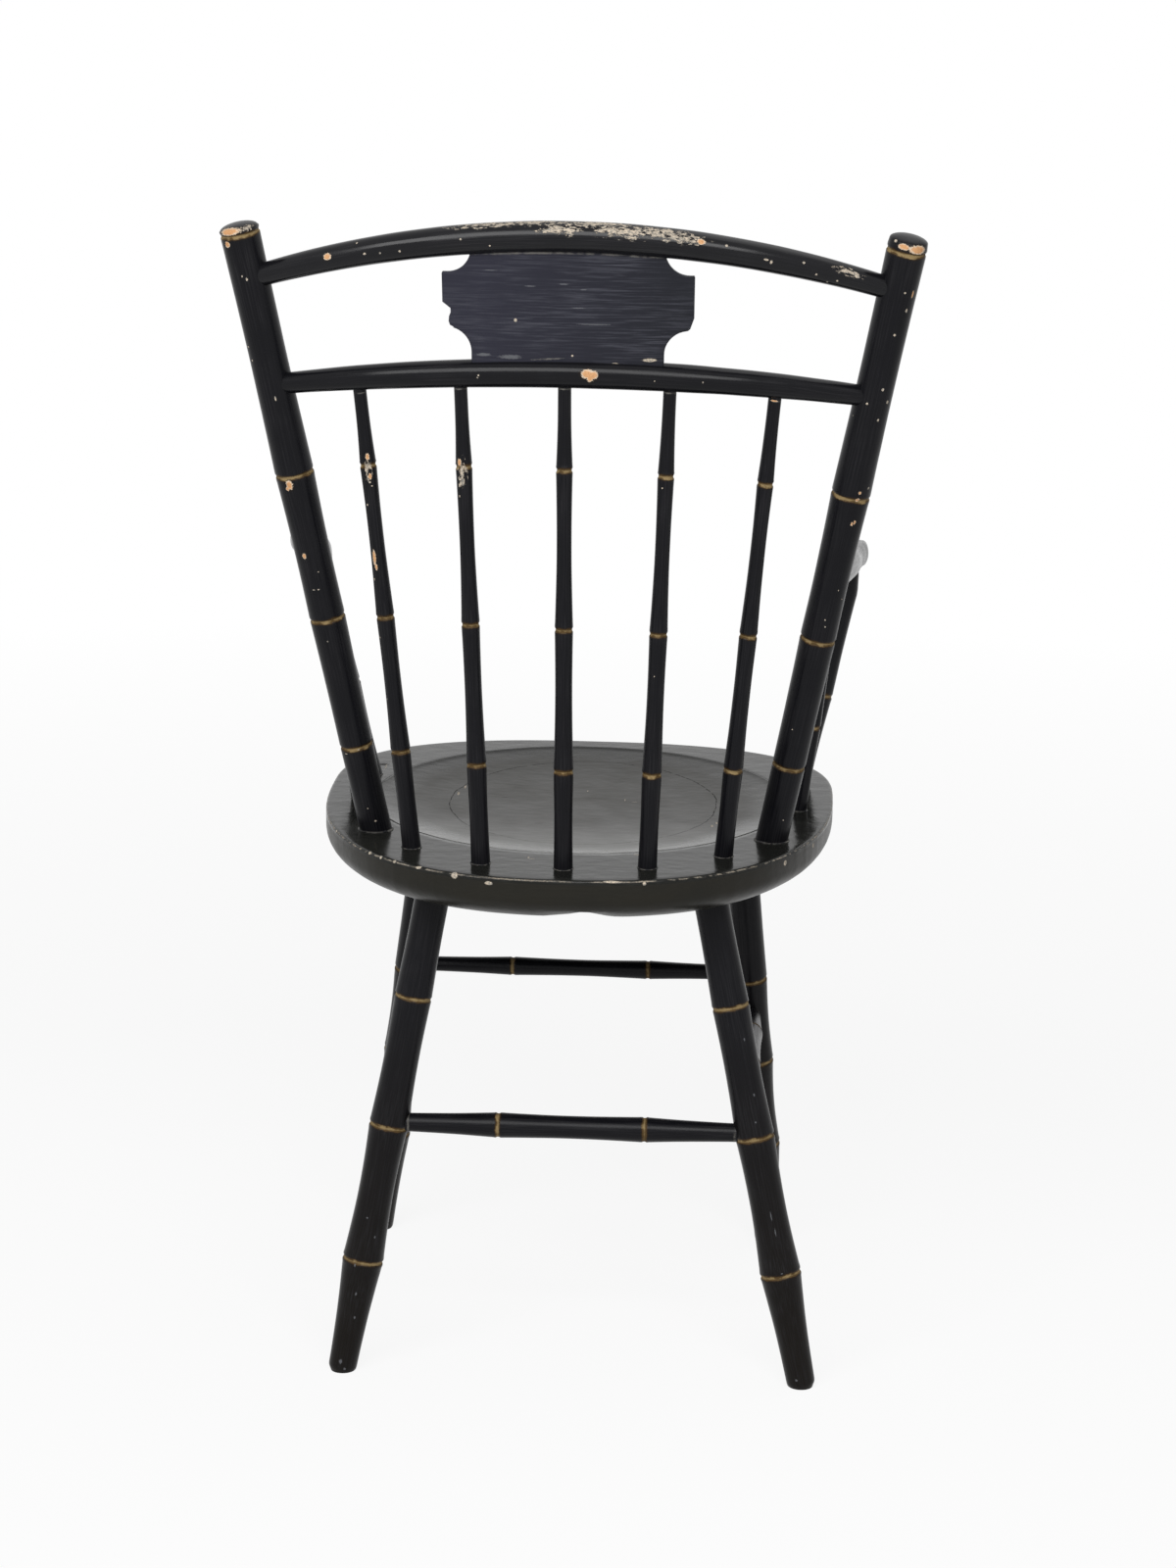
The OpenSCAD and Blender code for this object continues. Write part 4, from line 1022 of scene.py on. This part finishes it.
print("tablet")
buildTablet("tabletBoard", "tablet", {
    # painted reflection: the board's black is lighter than the sticks' and fades darker from left to right,
    # standing in for the light the leaning board catches
    "black": (0.0215, 0.0215, 0.0320), "brushed": (0.062, 0.063, 0.078), "brushing": 0.75,
    "grain": (0.8, 0.8, 0.035), "fade": (60, -85, (0.0130, 0.0137, 0.0180)), "gloss": (0.36, 0.52),
    "specks": 0.004,
    "flecks": [(37.5, -13.7, 1.3, 0.9), (-3.8, -38.9, 0.8, 1), (9, -45.2, 0.8, 4), (-18.7, -45.1, 0.8, 1),
               (-35.1, -44.3, 0.8, 3), (-59.8, -41.3, 1.3, 4), (4.9, 37.2, 0.8, 5), (27.4, 36.3, 0.5, 8),
               (-17, 36.7, 0.5, 9)],
    "scratches": [(-19.2, -15.7, 0.45, 28), (27, 11.2, 0.5, 8), (2.7, 13.1, 0.55, 7), (-12, 9.4, 0.5, 5),
                  (60.6, -39.6, 1.3, 4), (41.2, -40.8, 1.7, 5), (56, 22, 0.4, 12), (-8, -4, 0.4, 14)],
})

print("spindles")
spindleMarks = {
    2: {"chips": [(314.6, 99, 1.5, 1.6), (299.5, 101, 1.4, 1.7), (236.5, 62, 1.5, 3.8),
                  (229, 70, 1.0, 2.4)],
        "flecks": [(295, 96, 0.8, 1), (292, 108, 0.6, 1), (277.5, 53, 0.8, 1), (219.2, 40, 0.6, 2),
                   (173.1, 35, 0.6, 1), (123.4, 31, 0.6, 1)],
        "worn": [(306, 90, 4, 3)]},
    1: {"chips": [(312.4, 62, 1.6, 1.8)],
        "flecks": [(302.9, 82, 1.0, 1), (300, 60, 1.1, 1), (295.2, 55, 0.7, 2), (287, 50, 0.5, 2)],
        "worn": [(305, 80, 5, 3)]},
    0: {"flecks": [(354.5, 15, 0.7, 1)]},
    -1: {"flecks": [(296.5, 69, 0.6, 1), (153, 77, 0.5, 1)]},
    -2: {"chips": [(363.4, 84, 3.0, 0.2)]},
}
for number, i in enumerate((2, 1, 0, -1, -2), 1):
    buildSpindle(i, f"backSpindle{number}", f"back_spindle_{number}", spindleMarks[i])

print("arms")
for side, word in bothSides:
    buildArm(side, word + "Arm", word + "_arm", {"gloss": (0.16, 0.28), "specks": 0.03, "shine": 0.17})
    buildStump(side, word + "Stump", word + "_arm_stump", {"gloss": (0.14, 0.24)})
    buildArmSpindle(side, word + "ArmSpindle", word + "_arm_spindle", {"gloss": (0.14, 0.24)})

print("legs")
legLook = {"fade": (90, 360, tones["warmBlack"])}
rearMarks = {
    left: [(266.6, 160, 0.8, 1), (281.1, 125, 0.7, 2), (306, 168, 0.8, 2), (329.3, 150, 0.7, 2),
           (349, 139, 0.7, 2), (387, 160, 1.4, 1.5), (392.5, 138, 1.1, 1)],
    right: [(113.6, 10, 0.7, 2), (158.4, 12, 0.7, 2), (179.6, 24, 0.8, 1), (256.2, 30, 0.5, 8),
            (269.3, 26, 0.5, 6), (302.4, 30, 1.0, 0.5), (391, 50, 1.0, 1)],
}
for side, word in bothSides:
    buildLeg(side, "rear", word + "RearLeg", f"rear_{word}_leg", {"scratches": rearMarks[side], **legLook})
    buildLeg(side, "front", word + "FrontLeg", f"front_{word}_leg", legLook)

print("stretchers")
buildStretcher(legAt(left, "rear", stretchers["backZ"]), legAt(right, "rear", stretchers["backZ"]),
               stretchers["r"], stretchers["endR"], "backStretcher", "back_stretcher", 60)
buildStretcher(legAt(left, "front", stretchers["frontZ"]), legAt(right, "front", stretchers["frontZ"]),
               stretchers["frontR"], stretchers["frontEndR"], "frontStretcher", "front_stretcher", 61)
for side, word in bothSides:
    buildStretcher(legAt(side, "rear", stretchers["sideZ"]), legAt(side, "front", stretchers["sideFrontZ"]),
                   stretchers["r"], stretchers["endR"], word + "Stretcher", word + "_stretcher", 62 + side)


# Floor, light and camera
studio = {
    "floor": (0.82, 0.82, 0.82), "floorSize": 500, "world": 0.22,
    "white": (0.88, 1.0, 0.9, 3.2),  # the floor's own white near the chair and far off, from and to
    "lamps": (("key", (0.3, 2.5, 2.35), 4.2, 1.3, 118), ("overhead", (-0.6, -0.4, 2.9), 1.6, 1.6, 7)),
    "aim": (0, 0, 0.55),  # where both lamps point
    "camera": (-0.15157, 2.6222, 1.06224), "turns": (3.0711, 13.1666, 0.8567),  # yaw, pitch and roll
    "film": 36, "lens": 76.382, "shift": (-0.0019, 0.0019),
}


def whiteShare(tree):
    # the eye and the gloss meet white paper, and the wood is lit by the plain floor and world
    path = addNode(tree, "LightPath").outputs
    return most(path["Is Camera Ray"], most(path["Is Glossy Ray"], path["Is Transmission Ray"]))


def buildFloor():
    material, tree, shader = newMaterial("floorPaper")
    shader.inputs["Base Color"].default_value = (*studio["floor"], 1)
    shader.inputs["Roughness"].default_value = 0.9
    shader.inputs["Specular IOR Level"].default_value = 0
    near, far, start, end = studio["white"]
    away = lengthOf(addNode(tree, "TexCoord").outputs["Object"])
    share = times(whiteShare(tree), ramp(away, start, end, near, far))
    white = addNode(tree, "Emission", {"Color": (1, 1, 1, 1), "Strength": 1})
    both = addNode(tree, "MixShader", {0: share, 1: shader.outputs[0], 2: white.outputs[0]})
    tree.links.new(both.outputs[0], tree.nodes["Material Output"].inputs["Surface"])
    bm = bmesh.new()
    bmesh.ops.create_grid(bm, x_segments=1, y_segments=1, size=studio["floorSize"])
    floor = meshObject("floor", bm, material)


def buildWorld():
    world = bpy.data.worlds.new("studio")
    bpy.context.scene.world = world
    world.use_nodes = True
    tree = world.node_tree
    shell = tree.nodes["Background"]
    shell.inputs["Color"].default_value = (1, 1, 1, 1)
    tree.links.new(ramp(whiteShare(tree), 0, 1, studio["world"], 1), shell.inputs["Strength"])


def addLamp(name, place, wide, tall, power):
    lamp = bpy.data.lights.new(name, "AREA")
    lamp.shape, lamp.energy = "RECTANGLE", power
    lamp.size, lamp.size_y = wide, tall
    holder = newObject(name, lamp)
    holder.location = place
    holder.rotation_euler = (Vector(studio["aim"]) - holder.location).to_track_quat("-Z", "Y").to_euler()


def addCamera():
    yaw, pitch, roll = studio["turns"]
    ahead = Vector((sine(yaw) * cosine(pitch), -cosine(yaw) * cosine(pitch), -sine(pitch)))
    across = ahead.cross(upward).normalized()
    up = across.cross(ahead)
    across, up = cosine(roll) * across + sine(roll) * up, cosine(roll) * up - sine(roll) * across
    camera = bpy.data.cameras.new("camera")
    camera.sensor_width, camera.lens = studio["film"], studio["lens"]
    camera.shift_x, camera.shift_y = studio["shift"]
    holder = newObject("camera", camera)
    turn = Matrix((across, up, -ahead)).transposed().to_4x4()
    holder.matrix_world = Matrix.Translation(studio["camera"]) @ turn
    bpy.context.scene.camera = holder


print("floor, light and camera")
buildFloor()
buildWorld()
for lamp in studio["lamps"]:
    addLamp(*lamp)
addCamera()
bpy.context.scene.view_settings.view_transform = "Standard"
